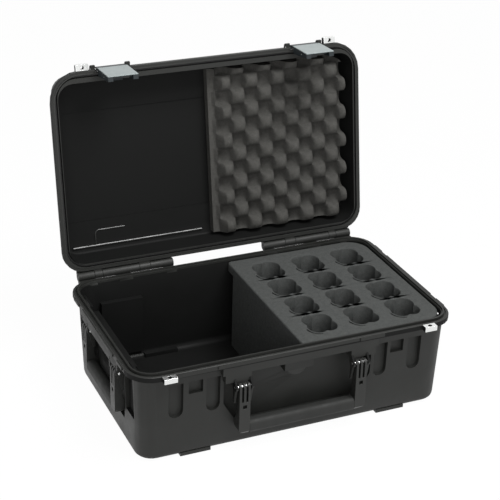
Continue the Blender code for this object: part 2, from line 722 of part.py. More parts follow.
def padlock_lug(name, side, rim, up):
    """The lug for a padlock in front of the flange; up is 1 on the lid and -1 on the base."""
    centre = side * PADLOCK_CENTRE
    half = PADLOCK_PLATE_WIDTH / 2 - CLEARANCE
    lap = PADLOCK_PLATE_THICKNESS + CLEARANCE
    heights = sorted((rim + up * lap, rim + up * PADLOCK_LUG_HEIGHT))
    return block(name, (centre - half, centre + half),
                 (lap - RIM_HALF_Y - PADLOCK_REACH, FLANGE_BEVEL - RIM_HALF_Y), heights)


def padlock_hole(name, side, rim, up, radius):
    """The upright hole for a padlock's shackle."""
    outline = circle((side * PADLOCK_CENTRE, PADLOCK_HOLE_REACH - RIM_HALF_Y - PADLOCK_REACH),
                     radius, ARC_STEPS)
    heights = sorted((rim - up * OVERRUN, rim + up * (PADLOCK_LUG_HEIGHT + OVERRUN)))
    return loft(name, [[(x, y, z) for x, y in outline] for z in heights])


def padlock_plate(name, side, rim, up):
    """A bent steel plate: a leaf on the lug's rim face, bored, and a leaf on its front."""
    centre = side * PADLOCK_CENTRE
    half = PADLOCK_PLATE_WIDTH / 2
    front = -RIM_HALF_Y - PADLOCK_REACH
    inner = rim + up * PADLOCK_PLATE_THICKNESS
    far = rim + up * PADLOCK_LUG_HEIGHT
    outline = [(front, rim), (front, far), (front + PADLOCK_PLATE_THICKNESS, far),
               (front + PADLOCK_PLATE_THICKNESS, inner), (-RIM_HALF_Y - CLEARANCE, inner),
               (-RIM_HALF_Y - CLEARANCE, rim)]
    plate = prism_x(name, outline, centre - half, centre + half, plate_steel())
    cut(plate, padlock_hole("shackle_hole", side, rim, up, PADLOCK_HOLE_RADIUS))
    return plate


def add_valve_boss(shell):
    """A round pocket behind the band, with a boss in it for the pressure valve."""
    floor = FLANGE_REACH + BAY_DEPTH - RIM_HALF_Y
    centre = (0.0, RIM_HEIGHT - VALVE_DROP)
    half = VALVE_POCKET_RADIUS + WALL
    top = RIM_HEIGHT - VALVE_DROP + half
    join(shell, block("valve_back", (-half, half), (body_inset(top) - RIM_HALF_Y, floor + WALL),
                      (RIM_HEIGHT - VALVE_DROP, top)))
    cut(shell, prism_y("valve_pocket", circle(centre, VALVE_POCKET_RADIUS, ROUND_STEPS),
                       floor - VALVE_POCKET_DEPTH, floor))
    join(shell, prism_y("valve_boss", circle(centre, VALVE_BOSS_RADIUS, ROUND_STEPS),
                        floor - VALVE_BOSS_HEIGHT, floor + WALL / 2))


def add_feet(shell):
    """Four low feet, front and rear, under the latch columns and the hinges."""
    for side in (-1, 1):
        centre = side * FOOT_CENTRE
        span = (centre - FOOT_LENGTH / 2, centre + FOOT_LENGTH / 2)
        for depth in ((-FOOT_FRONT, FOOT_WIDTH - FOOT_FRONT), (FOOT_FRONT - FOOT_WIDTH, FOOT_FRONT)):
            join(shell, block("foot", span, depth, (0.0, FOOT_ROOT)))


def add_base_hinges(shell):
    """Gussets and barrels behind the rim, bored for the hinge pins."""
    rear = RIM_HALF_Y - body_inset(RIM_HEIGHT - HINGE_GUSSET_DROP) - WALL / 2
    under = RIM_HEIGHT - CLEARANCE - RUNNING_GAP
    outline = [(rear, RIM_HEIGHT - HINGE_GUSSET_DROP), (rear, under),
               (HINGE_Y, under), (HINGE_Y, HINGE_Z - HINGE_BARREL_RADIUS + CLEARANCE),
               (rear + HINGE_GUSSET_TOE, RIM_HEIGHT - HINGE_GUSSET_DROP)]
    for knuckle in HINGE_BASE_KNUCKLES:
        for span in mirrored(knuckle):
            join(shell, prism_x("gusset", outline, span[0], span[1]))
            join(shell, rod_x("barrel", (HINGE_Y, HINGE_Z), HINGE_BARREL_RADIUS, span[0], span[1]))
    for knuckle in HINGE_BASE_KNUCKLES:
        for edge, side in zip(knuckle, (-1, 1)):
            beside = [lid[0] if side > 0 else lid[1] for lid in HINGE_LID_KNUCKLES]
            gaps = [(end - edge) * side - RUNNING_GAP for end in beside if (end - edge) * side > 0]
            if gaps and min(gaps) > RUNNING_GAP:
                sleeve = sorted((edge - side * HINGE_SLEEVE_ROOT, edge + side * min(gaps)))
                for span in mirrored(sleeve):
                    join(shell, rod_x("sleeve", (HINGE_Y, HINGE_Z), HINGE_BARREL_RADIUS,
                                      span[0], span[1]))
    bore_hinge(shell)


def bore_hinge(shell):
    """Bore every barrel of a shell for the hinge pins."""
    reach = (HINGE_BASE_KNUCKLES[0][0] - OVERRUN, HINGE_BASE_KNUCKLES[-1][1] + OVERRUN)
    for span in mirrored(reach):
        cut(shell, rod_x("hinge_bore", (HINGE_Y, HINGE_Z), HINGE_PIN_RADIUS + CLEARANCE,
                         span[0], span[1]))


def build_base_shell():
    shell = loft("base_shell", base_rings(), case_polymer())
    for handle in HANDLES:
        add_handle_bay(shell, handle)
    add_latch_columns(shell)
    add_rear_pockets(shell)
    add_side_pockets(shell)
    add_flange_strips(shell)
    for side in (-1, 1):
        join(shell, padlock_lug("padlock_lug", side, RIM_HEIGHT, -1))
        cut(shell, padlock_hole("lug_hole", side, RIM_HEIGHT, -1, PADLOCK_BORE_RADIUS))
    add_valve_boss(shell)
    add_feet(shell)
    for handle in HANDLES:
        add_handle_ears(shell, handle)
    add_base_hinges(shell)
    return shell


def lid_outline(inset, height):
    """A ring of the lid's outer outline, whose front corners are softer than the rear ones."""
    outline = rounded_outline(inset - RIM_HALF_X, RIM_HALF_X - inset,
                              inset - RIM_HALF_Y, RIM_HALF_Y - inset,
                              (LID_FRONT_CORNER - inset, LID_REAR_CORNER - inset,
                               LID_REAR_CORNER - inset, LID_FRONT_CORNER - inset))
    return [(x, y, LID_RIM + height) for x, y in outline]


def lid_body_ring(inset, radius, height):
    outline = rounded_outline(inset - RIM_HALF_X, RIM_HALF_X - inset,
                              inset - RIM_HALF_Y, RIM_HALF_Y - inset, (radius,) * 4)
    return [(x, y, LID_RIM + height) for x, y in outline]


def lid_inner_ring(inset, radius, height):
    """A ring of the lid's inner skin, whose opening lies nearer the hinge than the latches."""
    outline = rounded_outline(RIM_WIDTH + inset - RIM_HALF_X, RIM_HALF_X - RIM_WIDTH - inset,
                              LID_FRONT_RIM + inset - RIM_HALF_Y, RIM_HALF_Y - LID_REAR_RIM - inset,
                              (radius,) * 4)
    return [(x, y, LID_RIM + height) for x, y in outline]


def lid_rings():
    """From the lid's ceiling down its inner skin, over the rim and up the outer skin."""
    ceiling = LID_INNER_DEPTH - LID_STEP
    rings = []
    for step in range(EDGE_STEPS + 1):
        angle = pi / 2 * step / EDGE_STEPS
        height = ceiling - LID_INNER_RADIUS * (1 - cos(angle))
        pull = LID_INNER_RADIUS * (1 - sin(angle))
        rings.append(lid_inner_ring(LID_DRAFT_SHARE * height + pull, LID_INNER_CORNER - pull, height))
    rings.append(lid_inner_ring(0.0, LID_INNER_CORNER, 0.0))
    rings.append(lid_outline(FLANGE_BEVEL, 0.0))
    rings.append(lid_outline(0.0, FLANGE_BEVEL))
    rings.append(lid_outline(0.0, LID_FLANGE_HEIGHT))
    rings.append(lid_body_ring(FLANGE_REACH, LID_BODY_CORNER, LID_FLANGE_HEIGHT + FLANGE_BEVEL))
    for step in range(EDGE_STEPS + 2):
        angle = pi / 2 * step / (EDGE_STEPS + 1)
        height = LID_HEIGHT - LID_TOP_RADIUS * (1 - sin(angle))
        pull = LID_TOP_RADIUS * (1 - cos(angle))
        inset = FLANGE_REACH + DRAFT_SHARE * height + pull
        rings.append(lid_body_ring(inset, LID_BODY_CORNER - pull, height))
    return rings


def seal_groove_ring(name, side_gap, low, high, material=None):
    """A band that follows the base's tongue, wider than it by a gap on each side."""
    outer = TONGUE_OFFSET - side_gap
    inner = TONGUE_OFFSET + TONGUE_WIDTH + side_gap
    rings = [even_ring(inset, FLANGE_CORNER - inset, LID_RIM + height)
             for inset, height in ((outer, low), (outer, high), (inner, high), (inner, low))]
    return loft(name, rings, material, 0.0, True)


def add_lid_top(shell):
    """Raised pad and stacking ribs on the lid, and the pads on its two ends."""
    root = LID_RIM + LID_HEIGHT - WALL / 2
    top = LID_RIM + LID_HEIGHT + LID_PAD_HEIGHT
    join(shell, block("lid_pad", (-LID_PAD_HALF_LENGTH, LID_PAD_HALF_LENGTH),
                      (-LID_PAD_HALF_DEPTH, LID_PAD_HALF_DEPTH), (root, top)))
    rib_top = LID_RIM + LID_HEIGHT + LID_RIB_HEIGHT
    for centre in LID_RIB_CENTRES:
        for span in mirrored((centre - LID_RIB_WIDTH / 2, centre + LID_RIB_WIDTH / 2)):
            join(shell, block("lid_rib", span, (-LID_RIB_HALF_DEPTH, LID_RIB_HALF_DEPTH),
                              (root - CLEARANCE, rib_top)))
    side = RIM_HALF_X - FLANGE_REACH
    for turn in (-pi / 2, pi / 2):
        join(shell, block("lid_side_pad", (-LID_SIDE_PAD_HALF, LID_SIDE_PAD_HALF),
                          (-side - LID_SIDE_PAD_PROUD, WALL / 2 - side),
                          (LID_RIM + LID_FLANGE_HEIGHT / 2, LID_RIM + LID_SIDE_PAD_TOP), None, turn))


def add_latch_ears(shell):
    """Ears on the lid's front flange that hold the latch pins, and a notch for the latch's neck."""
    pivot = (LATCH_PIVOT_Y, LATCH_PIVOT_Z)
    root = LATCH_EAR_ROOT - RIM_HALF_Y
    low = LID_RIM + CLEARANCE + RUNNING_GAP / 2
    outline = [(root, low), (pivot[0] - LATCH_EAR_RADIUS / 2, low)]
    outline += arc(pivot, LATCH_EAR_RADIUS, LATCH_EAR_ARC_START, pi / 2, ARC_STEPS)
    outline += [(root, pivot[1] + LATCH_EAR_RADIUS)]
    start = LATCH_WIDTH / 2 + LATCH_EAR_GAP
    for side in (-1, 1):
        centre = side * LATCH_CENTRE
        half = start - LATCH_EAR_GAP / 2
        cut(shell, block("latch_notch", (centre - half, centre + half),
                         (-RIM_HALF_Y - OVERRUN, LATCH_NOTCH_DEPTH - RIM_HALF_Y),
                         (LID_RIM - OVERRUN, LID_RIM + LID_FLANGE_HEIGHT + OVERRUN)))
        for span in mirrored((start, start + LATCH_EAR_WIDTH)):
            join(shell, prism_x("latch_ear", outline, centre + span[0], centre + span[1]))
        reach = start + LATCH_EAR_WIDTH + OVERRUN
        cut(shell, rod_x("latch_bore", pivot, LATCH_PIN_RADIUS + CLEARANCE,
                         centre - reach, centre + reach))


def add_lid_hinges(shell):
    """Webs and barrels behind the lid's rim, bored for the hinge pins."""
    low = LID_RIM + RUNNING_GAP
    rear = RIM_HALF_Y - WALL / 2
    outline = [(rear, low), (HINGE_Y, low), (HINGE_Y, LID_RIM + LID_FLANGE_HEIGHT - FLANGE_BEVEL),
               (rear, LID_RIM + LID_FLANGE_HEIGHT - FLANGE_BEVEL)]
    cradle = (HINGE_BASE_KNUCKLES[0][0], HINGE_BASE_KNUCKLES[-1][1])
    for span in mirrored(cradle):
        join(shell, block("cradle", span, (rear, RIM_HALF_Y + HINGE_CRADLE_DEPTH),
                          (HINGE_Z, HINGE_Z + HINGE_CRADLE_HEIGHT)))
        cut(shell, rod_x("cradle_cut", (HINGE_Y, HINGE_Z), HINGE_BARREL_RADIUS + RUNNING_GAP,
                         span[0] - OVERRUN, span[1] + OVERRUN))
    for knuckle in HINGE_LID_KNUCKLES:
        for span in mirrored(knuckle):
            join(shell, prism_x("web", outline, span[0], span[1]))
            join(shell, rod_x("barrel", (HINGE_Y, HINGE_Z), HINGE_BARREL_RADIUS, span[0], span[1]))
    bore_hinge(shell)


def build_lid_shell(lid_axis):
    shell = loft("lid_shell", lid_rings(), case_polymer())
    cut(shell, block("lid_step", (-LID_STEP_END, LID_STEP_END), (-LID_STEP_FRONT, LID_STEP_REAR),
                     (LID_RIM + LID_INNER_DEPTH / 2, LID_RIM + LID_INNER_DEPTH)))
    add_lid_top(shell)
    for side in (-1, 1):
        join(shell, padlock_lug("padlock_lug", side, LID_RIM, 1))
        cut(shell, padlock_hole("lug_hole", side, LID_RIM, 1, PADLOCK_BORE_RADIUS))
    add_latch_ears(shell)
    add_lid_hinges(shell)
    cut(shell, seal_groove_ring("seal_cut", SEAL_GROOVE_SIDE, -OVERRUN, SEAL_GROOVE_DEPTH))
    place_on_axis(shell, AXIS_HOMES[lid_axis.name], lid_axis)


def build_gasket(lid_axis):
    high = SEAL_GROOVE_DEPTH - CLEARANCE
    gasket = seal_groove_ring("lid_gasket", SEAL_GROOVE_SIDE - CLEARANCE, high - GASKET_HEIGHT,
                              high, seal_rubber())
    place_on_axis(gasket, AXIS_HOMES[lid_axis.name], lid_axis)


def build_padlock_plates(lid_axis):
    for side, word in ((-1, "left"), (1, "right")):
        padlock_plate("base_padlock_plate_" + word, side, RIM_HEIGHT, -1)
        plate = padlock_plate("lid_padlock_plate_" + word, side, LID_RIM, 1)
        place_on_axis(plate, AXIS_HOMES[lid_axis.name], lid_axis)


def build_hinge_pins():
    start = HINGE_BASE_KNUCKLES[0][0]
    end = HINGE_BASE_KNUCKLES[-1][1]
    for span, word in zip(mirrored((start, end)), ("right", "left")):
        rod_x("hinge_pin_" + word, (HINGE_Y, HINGE_Z), HINGE_PIN_RADIUS, span[0], span[1],
              pin_black())


def latch_point(out, drop):
    """A point of the latch's side view, outward of and below its pivot, as (y, z)."""
    return (LATCH_PIVOT_Y - out, LATCH_PIVOT_Z - drop)


def build_latch_body(name, centre, latch_axis):
    """A barrel and a neck with two cheeks below, open between them for the trigger."""
    half = LATCH_WIDTH / 2
    seat = PLATE_THICKNESS + CLEARANCE
    shoulder = LATCH_PIVOT_RISE + FLANGE_HEIGHT + FLANGE_BEVEL + RUNNING_GAP
    outline = [
        latch_point(LATCH_NECK_INNER, 0.0), latch_point(LATCH_NECK_OUTER, 0.0),
        latch_point(LATCH_NECK_OUTER, PLATE_TOP_DROP - CLEARANCE),
        latch_point(PLATE_TOP_OUT - seat, PLATE_TOP_DROP - CLEARANCE),
        latch_point(-PLATE_TIP_IN - seat, PLATE_TIP_DROP),
        latch_point(-LATCH_INNER_TIP, PLATE_TIP_DROP),
        latch_point(-LATCH_INNER_TOP, shoulder),
        latch_point(LATCH_NECK_INNER, shoulder)]
    frame = prism_x(name, outline, centre - half, centre + half, latch_polymer())
    inner = LATCH_SLOT_WIDTH / 2
    cut(frame, block("slot", (centre - inner, centre + inner),
                     (LATCH_PIVOT_Y - PLATE_TOP_OUT - OVERRUN,
                      LATCH_PIVOT_Y + LATCH_INNER_TIP + OVERRUN),
                     (LATCH_PIVOT_Z - PLATE_TIP_DROP - OVERRUN, LATCH_PIVOT_Z - LATCH_SLOT_TOP)))
    pivot = (LATCH_PIVOT_Y, LATCH_PIVOT_Z)
    end = half - CLEARANCE
    join(frame, rod_x("barrel", pivot, LATCH_BARREL_RADIUS, centre - end, centre + end))
    reach = half + OVERRUN
    cut(frame, rod_x("bore", pivot, LATCH_PIN_RADIUS + CLEARANCE, centre - reach, centre + reach))
    cut(frame, rod_x("bore", (TRIGGER_PIVOT_Y, TRIGGER_PIVOT_Z), TRIGGER_PIN_RADIUS + CLEARANCE,
                     centre - reach, centre + reach))
    place_on_axis(frame, AXIS_HOMES[latch_axis.name], latch_axis)


def build_latch_plate(name, centre, latch_axis):
    """The pale plate on the latch's face."""
    half = LATCH_WIDTH / 2
    outline = [
        latch_point(PLATE_TOP_OUT, PLATE_TOP_DROP),
        latch_point(PLATE_TOP_OUT - PLATE_THICKNESS, PLATE_TOP_DROP),
        latch_point(-PLATE_TIP_IN - PLATE_THICKNESS, PLATE_TIP_DROP),
        latch_point(-PLATE_TIP_IN, PLATE_TIP_DROP)]
    plate = prism_x(name, outline, centre - half, centre + half, plate_grey())
    place_on_axis(plate, AXIS_HOMES[latch_axis.name], latch_axis)


def build_trigger(name, centre, trigger_axis):
    """A rocker between the cheeks: a hook for the catch above its pin, a finger tail below."""
    pivot = (TRIGGER_PIVOT_Y, TRIGGER_PIVOT_Z)
    hook_top = CATCH_TOP + LATCH_PIVOT_RISE + HOOK_TOP_GAP
    front = TRIGGER_PIVOT_IN - TRIGGER_ARM / 2
    back = TRIGGER_PIVOT_IN + TRIGGER_ARM / 2
    half = LATCH_SLOT_WIDTH / 2 - TRIGGER_SIDE_GAP
    outline = [
        latch_point(-front, hook_top), latch_point(-back, hook_top),
        latch_point(-back, TRIGGER_PIVOT_DROP),
        latch_point(-TRIGGER_TAIL_IN - TRIGGER_ARM, TRIGGER_TAIL_DROP),
        latch_point(-TRIGGER_TAIL_IN, TRIGGER_TAIL_DROP), latch_point(-front, TRIGGER_PIVOT_DROP)]
    trigger = prism_x(name, outline, centre - half, centre + half, latch_polymer())
    end = half - CLEARANCE
    join(trigger, rod_x("barrel", pivot, TRIGGER_BARREL_RADIUS, centre - end, centre + end))
    column = FLANGE_REACH + LATCH_PIVOT_STANDOFF
    tip = -column - HOOK_REACH
    root = (front + back) / 2
    hook = [latch_point(-root, hook_top), latch_point(tip, hook_top),
            latch_point(tip, hook_top + HOOK_THICKNESS / 2),
            latch_point(-column, hook_top + HOOK_THICKNESS),
            latch_point(-root, hook_top + HOOK_THICKNESS)]
    join(trigger, prism_x("hook", hook, centre - HOOK_WIDTH / 2, centre + HOOK_WIDTH / 2))
    reach = half + OVERRUN
    cut(trigger, rod_x("bore", pivot, TRIGGER_PIN_RADIUS + CLEARANCE, centre - reach, centre + reach))
    place_on_axis(trigger, AXIS_HOMES[trigger_axis.name], trigger_axis)


def build_latches(lid_axis):
    for side, word in ((-1, "left"), (1, "right")):
        centre = side * LATCH_CENTRE
        pivot = (centre, LATCH_PIVOT_Y, LATCH_PIVOT_Z)
        latch_axis = axis_empty("latch_axis_" + word, pivot, lid_axis)
        pivot = (centre, TRIGGER_PIVOT_Y, TRIGGER_PIVOT_Z)
        trigger_axis = axis_empty("trigger_axis_" + word, pivot, latch_axis)
        build_latch_body("latch_body_" + word, centre, latch_axis)
        build_latch_plate("latch_plate_" + word, centre, latch_axis)
        build_trigger("latch_trigger_" + word, centre, trigger_axis)
        reach = LATCH_WIDTH / 2 + LATCH_EAR_GAP + LATCH_EAR_WIDTH
        pin = rod_x("latch_pin_" + word, (LATCH_PIVOT_Y, LATCH_PIVOT_Z), LATCH_PIN_RADIUS,
                    centre - reach, centre + reach, plate_steel())
        place_on_axis(pin, AXIS_HOMES[lid_axis.name], lid_axis)
        half = LATCH_WIDTH / 2
        pin = rod_x("trigger_pin_" + word, (TRIGGER_PIVOT_Y, TRIGGER_PIVOT_Z), TRIGGER_PIN_RADIUS,
                    centre - half, centre + half, plate_steel())
        place_on_axis(pin, AXIS_HOMES[latch_axis.name], latch_axis)


def arm_outline(handle):
    """Side view of a handle arm: a round eye, a straight shank and a deeper foot."""
    pivot = handle_pivot(handle)
    bar_z = RIM_HEIGHT - handle.bar_drop
    front = pivot[0] - ARM_FRONT
    rear = pivot[0] + ARM_REAR
    back = front + handle.bar_depth
    bevel = BAR_HEIGHT / 4
    outline = arc(pivot, ARM_REAR, 0.0, pi / 2, EDGE_STEPS)
    outline += arc((pivot[0], pivot[1] - (ARM_FRONT - ARM_REAR)), ARM_FRONT, pi / 2, pi, EDGE_STEPS)
    outline += [(front, bar_z - BAR_HEIGHT / 2 + bevel), (front + bevel, bar_z - BAR_HEIGHT / 2),
                (back - bevel, bar_z - BAR_HEIGHT / 2), (back, bar_z - BAR_HEIGHT / 2 + bevel),
                (back, bar_z + BAR_HEIGHT / 2), (rear, bar_z + BAR_HEIGHT)]
    return outline


def rounded_bar(front, depth, middle, height, radius):
    """Outline of a bar as (y, z) points, with rounded corners."""
    return rounded_outline(front, front + depth, middle - height / 2, middle + height / 2,
                           (radius,) * 4)


def build_handle(handle):
    """The swinging frame, its sleeve grip and its two pins."""
    pivot = handle_pivot(handle)
    axis = axis_empty(handle.name + "_axis", Matrix.Rotation(handle.turn, 3, "Z")
                      @ Vector((0.0, pivot[0], pivot[1])))
    inner = handle.arm_centre - handle.arm_width / 2
    outer = handle.arm_centre + handle.arm_width / 2
    outline = arm_outline(handle)
    bar_z = RIM_HEIGHT - handle.bar_drop
    front = pivot[0] - ARM_FRONT
    middle = front + handle.bar_depth / 2
    half_core = CORE_SIZE / 2
    frame = block(handle.name + "_frame", (-inner - OVERRUN, inner + OVERRUN),
                  (middle - half_core, middle + half_core), (bar_z - half_core, bar_z + half_core),
                  case_polymer(), handle.turn)
    for span in mirrored((inner, outer)):
        join(frame, prism_x("arm", outline, span[0], span[1], None, handle.turn))
    corner = (HANDLE_CORNER, CLEARANCE, CLEARANCE, HANDLE_CORNER)
    loop = rounded_outline(-outer, outer, bar_z - BAR_HEIGHT / 2, pivot[1] + BAR_HEIGHT, corner)
    combine(frame, prism_y("loop", loop, front - OVERRUN, pivot[0] + BAR_HEIGHT, None, handle.turn),
            "INTERSECT")
    for span in mirrored((inner, outer)):
        arm = (span[0] + span[1]) / 2
        slot_top = pivot[1] - TINE_SLOT_TOP
        for offset in (-TINE_SLOT_OFFSET, TINE_SLOT_OFFSET):
            slot = arm + offset
            cut(frame, block("slot", (slot - TINE_SLOT_WIDTH / 2, slot + TINE_SLOT_WIDTH / 2),
                             (front - OVERRUN, front + TINE_SLOT_DEPTH),
                             (slot_top - TINE_SLOT_HEIGHT, slot_top), None, handle.turn))
        hole = pivot[1] - ARM_HOLE_DROP
        cut(frame, block("hole", (arm - ARM_HOLE_SIZE / 2, arm + ARM_HOLE_SIZE / 2),
                         (front - OVERRUN, front + TINE_SLOT_DEPTH),
                         (hole - ARM_HOLE_SIZE / 2, hole + ARM_HOLE_SIZE / 2), None, handle.turn))
        cut(frame, rod_x("eye_bore", pivot, HANDLE_PIN_RADIUS + CLEARANCE,
                         span[0] - OVERRUN, span[1] + OVERRUN, None, handle.turn))
    place_on_axis(frame, AXIS_HOMES[axis.name], axis)
    grip_half = inner - CLEARANCE
    sleeve = rounded_bar(front, handle.bar_depth, bar_z, BAR_HEIGHT, GRIP_RADIUS)
    grip = prism_x(handle.name + "_grip", sleeve, -grip_half, grip_half, grip_rubber(), handle.turn)
    bore = half_core + CLEARANCE
    cut(grip, block("core_bore", (-grip_half - OVERRUN, grip_half + OVERRUN),
                    (middle - bore, middle + bore), (bar_z - bore, bar_z + bore), None, handle.turn))
    place_on_axis(grip, AXIS_HOMES[axis.name], axis)
    ears = ear_spans(handle)
    for span, word in zip(mirrored((ears[0][0], ears[1][1])), ("b", "a")):
        rod_x(handle.name + "_pin_" + word, pivot, HANDLE_PIN_RADIUS, span[0], span[1],
              plate_steel(), handle.turn)


def build_valve():
    """The pressure valve: a round body against its boss, and the smaller cap on it."""
    centre = (0.0, RIM_HEIGHT - VALVE_DROP)
    seat = FLANGE_REACH + BAY_DEPTH - RIM_HALF_Y - VALVE_BOSS_HEIGHT - CLEARANCE
    prism_y("valve_body", circle(centre, VALVE_BODY_RADIUS, ROUND_STEPS),
            seat - VALVE_BODY_HEIGHT, seat, case_polymer())
    seat -= VALVE_BODY_HEIGHT + CLEARANCE
    prism_y("valve_cap", circle(centre, VALVE_CAP_RADIUS, ROUND_STEPS),
            seat - VALVE_CAP_HEIGHT, seat, case_polymer())


def socket_outline(column, row):
    """Four round lobes about a centre, as one outline."""
    reach = SOCKET_LOBE_OFFSET
    radius = SOCKET_LOBE_RADIUS
    crossing = (reach + (2 * radius ** 2 - reach ** 2) ** 0.5) / 2
    spread = atan2(crossing, crossing - reach)
    points = []
    for lobe in range(4):
        heading = (lobe + 0.5) * pi / 2
        centre = (column + reach * cos(heading), row + reach * sin(heading))
        points += arc(centre, radius, heading - spread, heading + spread, SOCKET_LOBE_STEPS)[:-1]
    return points


def build_mic_foam():
    """A plain slab under three blocks side by side, each with four sockets through it.

    The blocks have a wide cap, and are notched below it to clear the bays and pockets.
    """
    top = RIM_HEIGHT - FOAM_TOP_DROP
    cap_bottom = top - FOAM_CAP_THICKNESS
    socket_floor = top - SOCKET_DEPTH
    inset = body_inset(cap_bottom) + WALL + FOAM_SIDE_CLEARANCE
    radii = (FOAM_CORNER, FOAM_CORNER, FOAM_CUT_CORNER, FOAM_CUT_CORNER)
    cap = rounded_outline(FOAM_LEFT, RIM_HALF_X - inset, inset - RIM_HALF_Y, FOAM_REAR, radii)
    bay = FLANGE_REACH + BAY_DEPTH + WALL + FOAM_SIDE_CLEARANCE
    rear = RIM_HALF_Y - FLANGE_REACH - REAR_POCKET_DEPTH - WALL - FOAM_SIDE_CLEARANCE
    lower = rounded_outline(FOAM_LEFT, RIM_HALF_X - bay, bay - RIM_HALF_Y,
                            rear - REAR_LEDGE_DEPTH, (FOAM_CUT_CORNER,) * 4)
    prism_z("mic_foam_floor", lower, FLOOR_TOP + FOAM_SIDE_CLEARANCE, socket_floor - CLEARANCE,
            foam_charcoal())
    pocket = RIM_HALF_X - FLANGE_REACH - SIDE_POCKET_DEPTH - WALL - FOAM_SIDE_CLEARANCE
    columns = [share * RIM_HALF_X for share in SOCKET_COLUMN_SHARES]
    seams = [(one + other) / 2 for one, other in zip(columns, columns[1:])]
    wests = [FOAM_LEFT - OVERRUN, *(seam + CLEARANCE / 2 for seam in seams)]
    easts = [*(seam - CLEARANCE / 2 for seam in seams), RIM_HALF_X]
    for word, column, west, east in zip(("left", "middle", "right"), columns, wests, easts):
        foam = prism_z("mic_foam_" + word, cap, cap_bottom, top, foam_charcoal())
        join(foam, prism_z("foam_lower", lower, socket_floor, cap_bottom + FOAM_CAP_THICKNESS / 2))
        for span in mirrored((SIDE_POCKET[0] - WALL - FOAM_SIDE_CLEARANCE,
                              SIDE_POCKET[1] + WALL / 2 + FOAM_SIDE_CLEARANCE)):
            cut(foam, block("pocket_cut", (pocket, RIM_HALF_X), span,
                            (cap_bottom - OVERRUN, RIM_HEIGHT - SIDE_POCKET_TOP + FOAM_SIDE_CLEARANCE)))
        for row in SOCKET_ROW_SHARES:
            outline = socket_outline(column, row * RIM_HALF_Y)
            cut(foam, prism_z("socket", outline, socket_floor - OVERRUN, top + OVERRUN))
        combine(foam, block("strip", (west, east), (-RIM_HALF_Y, RIM_HALF_Y),
                            (socket_floor - OVERRUN, top + OVERRUN)), "INTERSECT")


def crate_height(x, y):
    """Thickness of the convoluted foam: a product of two cosines between valley and peak."""
    middle = (CRATE_PEAK + CRATE_VALLEY) / 2
    swing = (CRATE_PEAK - CRATE_VALLEY) / 2
    wave = cos(pi * (x - CRATE_LEFT) / CRATE_PITCH) * cos(pi * (y - CRATE_FRONT) / CRATE_PITCH)
    return middle + swing * wave


def build_crate_foam(lid_axis):
    """The convoluted pad on the right half of the lid's ceiling."""
    step = CRATE_PITCH / CRATE_STEPS_PER_PITCH
    across = round((CRATE_RIGHT - CRATE_LEFT) / step)
    along = round((CRATE_REAR - CRATE_FRONT) / step)
    back = LID_RIM + LID_INNER_DEPTH - LID_STEP - CLEARANCE
    columns = [CRATE_LEFT + (CRATE_RIGHT - CRATE_LEFT) * index / across for index in range(across + 1)]
    rows = [CRATE_FRONT + (CRATE_REAR - CRATE_FRONT) * index / along for index in range(along + 1)]
    points = [(x, y, back - crate_height(x, y)) for y in rows for x in columns]
    width = across + 1
    faces = [(row * width + column, row * width + column + 1,
              (row + 1) * width + column + 1, (row + 1) * width + column)
             for row in range(along) for column in range(across)]
    edge = [*range(across), *(row * width + across for row in range(along)),
            *(along * width + column for column in range(across, 0, -1)),
            *(row * width for row in range(along, 0, -1))]
    start = len(points)
    points += [(points[index][0], points[index][1], back) for index in edge]
    count = len(edge)
    faces += [(edge[index], edge[(index + 1) % count], start + (index + 1) % count, start + index)
              for index in range(count)]
    faces.append([*range(start, start + count)])
    foam = new_solid("lid_crate_foam", points, faces, foam_charcoal())
    corner = LID_INNER_CORNER
    trim = rounded_outline(CRATE_LEFT - OVERRUN, CRATE_RIGHT, CRATE_FRONT, CRATE_REAR,
                           (corner, corner, CLEARANCE, CLEARANCE))
    combine(foam, prism_z("trim", trim, back - CRATE_PEAK - OVERRUN, back + OVERRUN), "INTERSECT")
    place_on_axis(foam, AXIS_HOMES[lid_axis.name], lid_axis)


def shade_all():
    for solid in bpy.data.objects:
        if solid.type == "MESH":
            solid.data.shade_smooth()
            solid.data.set_sharp_from_angle(angle=SHARP_ANGLE)


def centre_on_ground():
    """Put the origin under the middle of the open case, from its front to the tilted lid."""
    bpy.context.view_layer.update()
    depths = [(solid.matrix_world @ vertex.co).y for solid in bpy.data.objects
              if solid.type == "MESH" for vertex in solid.data.vertices]
    middle = (min(depths) + max(depths)) / 2
    for item in bpy.data.objects:
        if not item.parent:
            item.location.y -= middle


def main():
    for old in list(bpy.data.objects):
        bpy.data.objects.remove(old)
    lid_axis = axis_empty("lid_axis", (0.0, HINGE_Y, HINGE_Z))
    build_base_shell()
    build_lid_shell(lid_axis)
    build_gasket(lid_axis)
    build_padlock_plates(lid_axis)
    build_hinge_pins()
    build_latches(lid_axis)
    for handle in HANDLES:
        build_handle(handle)
    build_valve()
    build_mic_foam()
    build_crate_foam(lid_axis)
    shade_all()
    lid_axis.rotation_euler.x = -LID_OPEN_ANGLE
    centre_on_ground()


main()
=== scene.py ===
"""Looks of the hard microphone case: moulded shells, hardware, foams, light and camera.

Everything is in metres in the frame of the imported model: X along the case, Y to the hinges, Z up.
Pieces on the lid are worked out on the closed case and then turned about the hinge line.
"""
import json

import bmesh
import bpy
import numpy as np
from bpy.props import FloatProperty, FloatVectorProperty, PointerProperty
from mathutils import Matrix, Vector
from mathutils.bvhtree import BVHTree

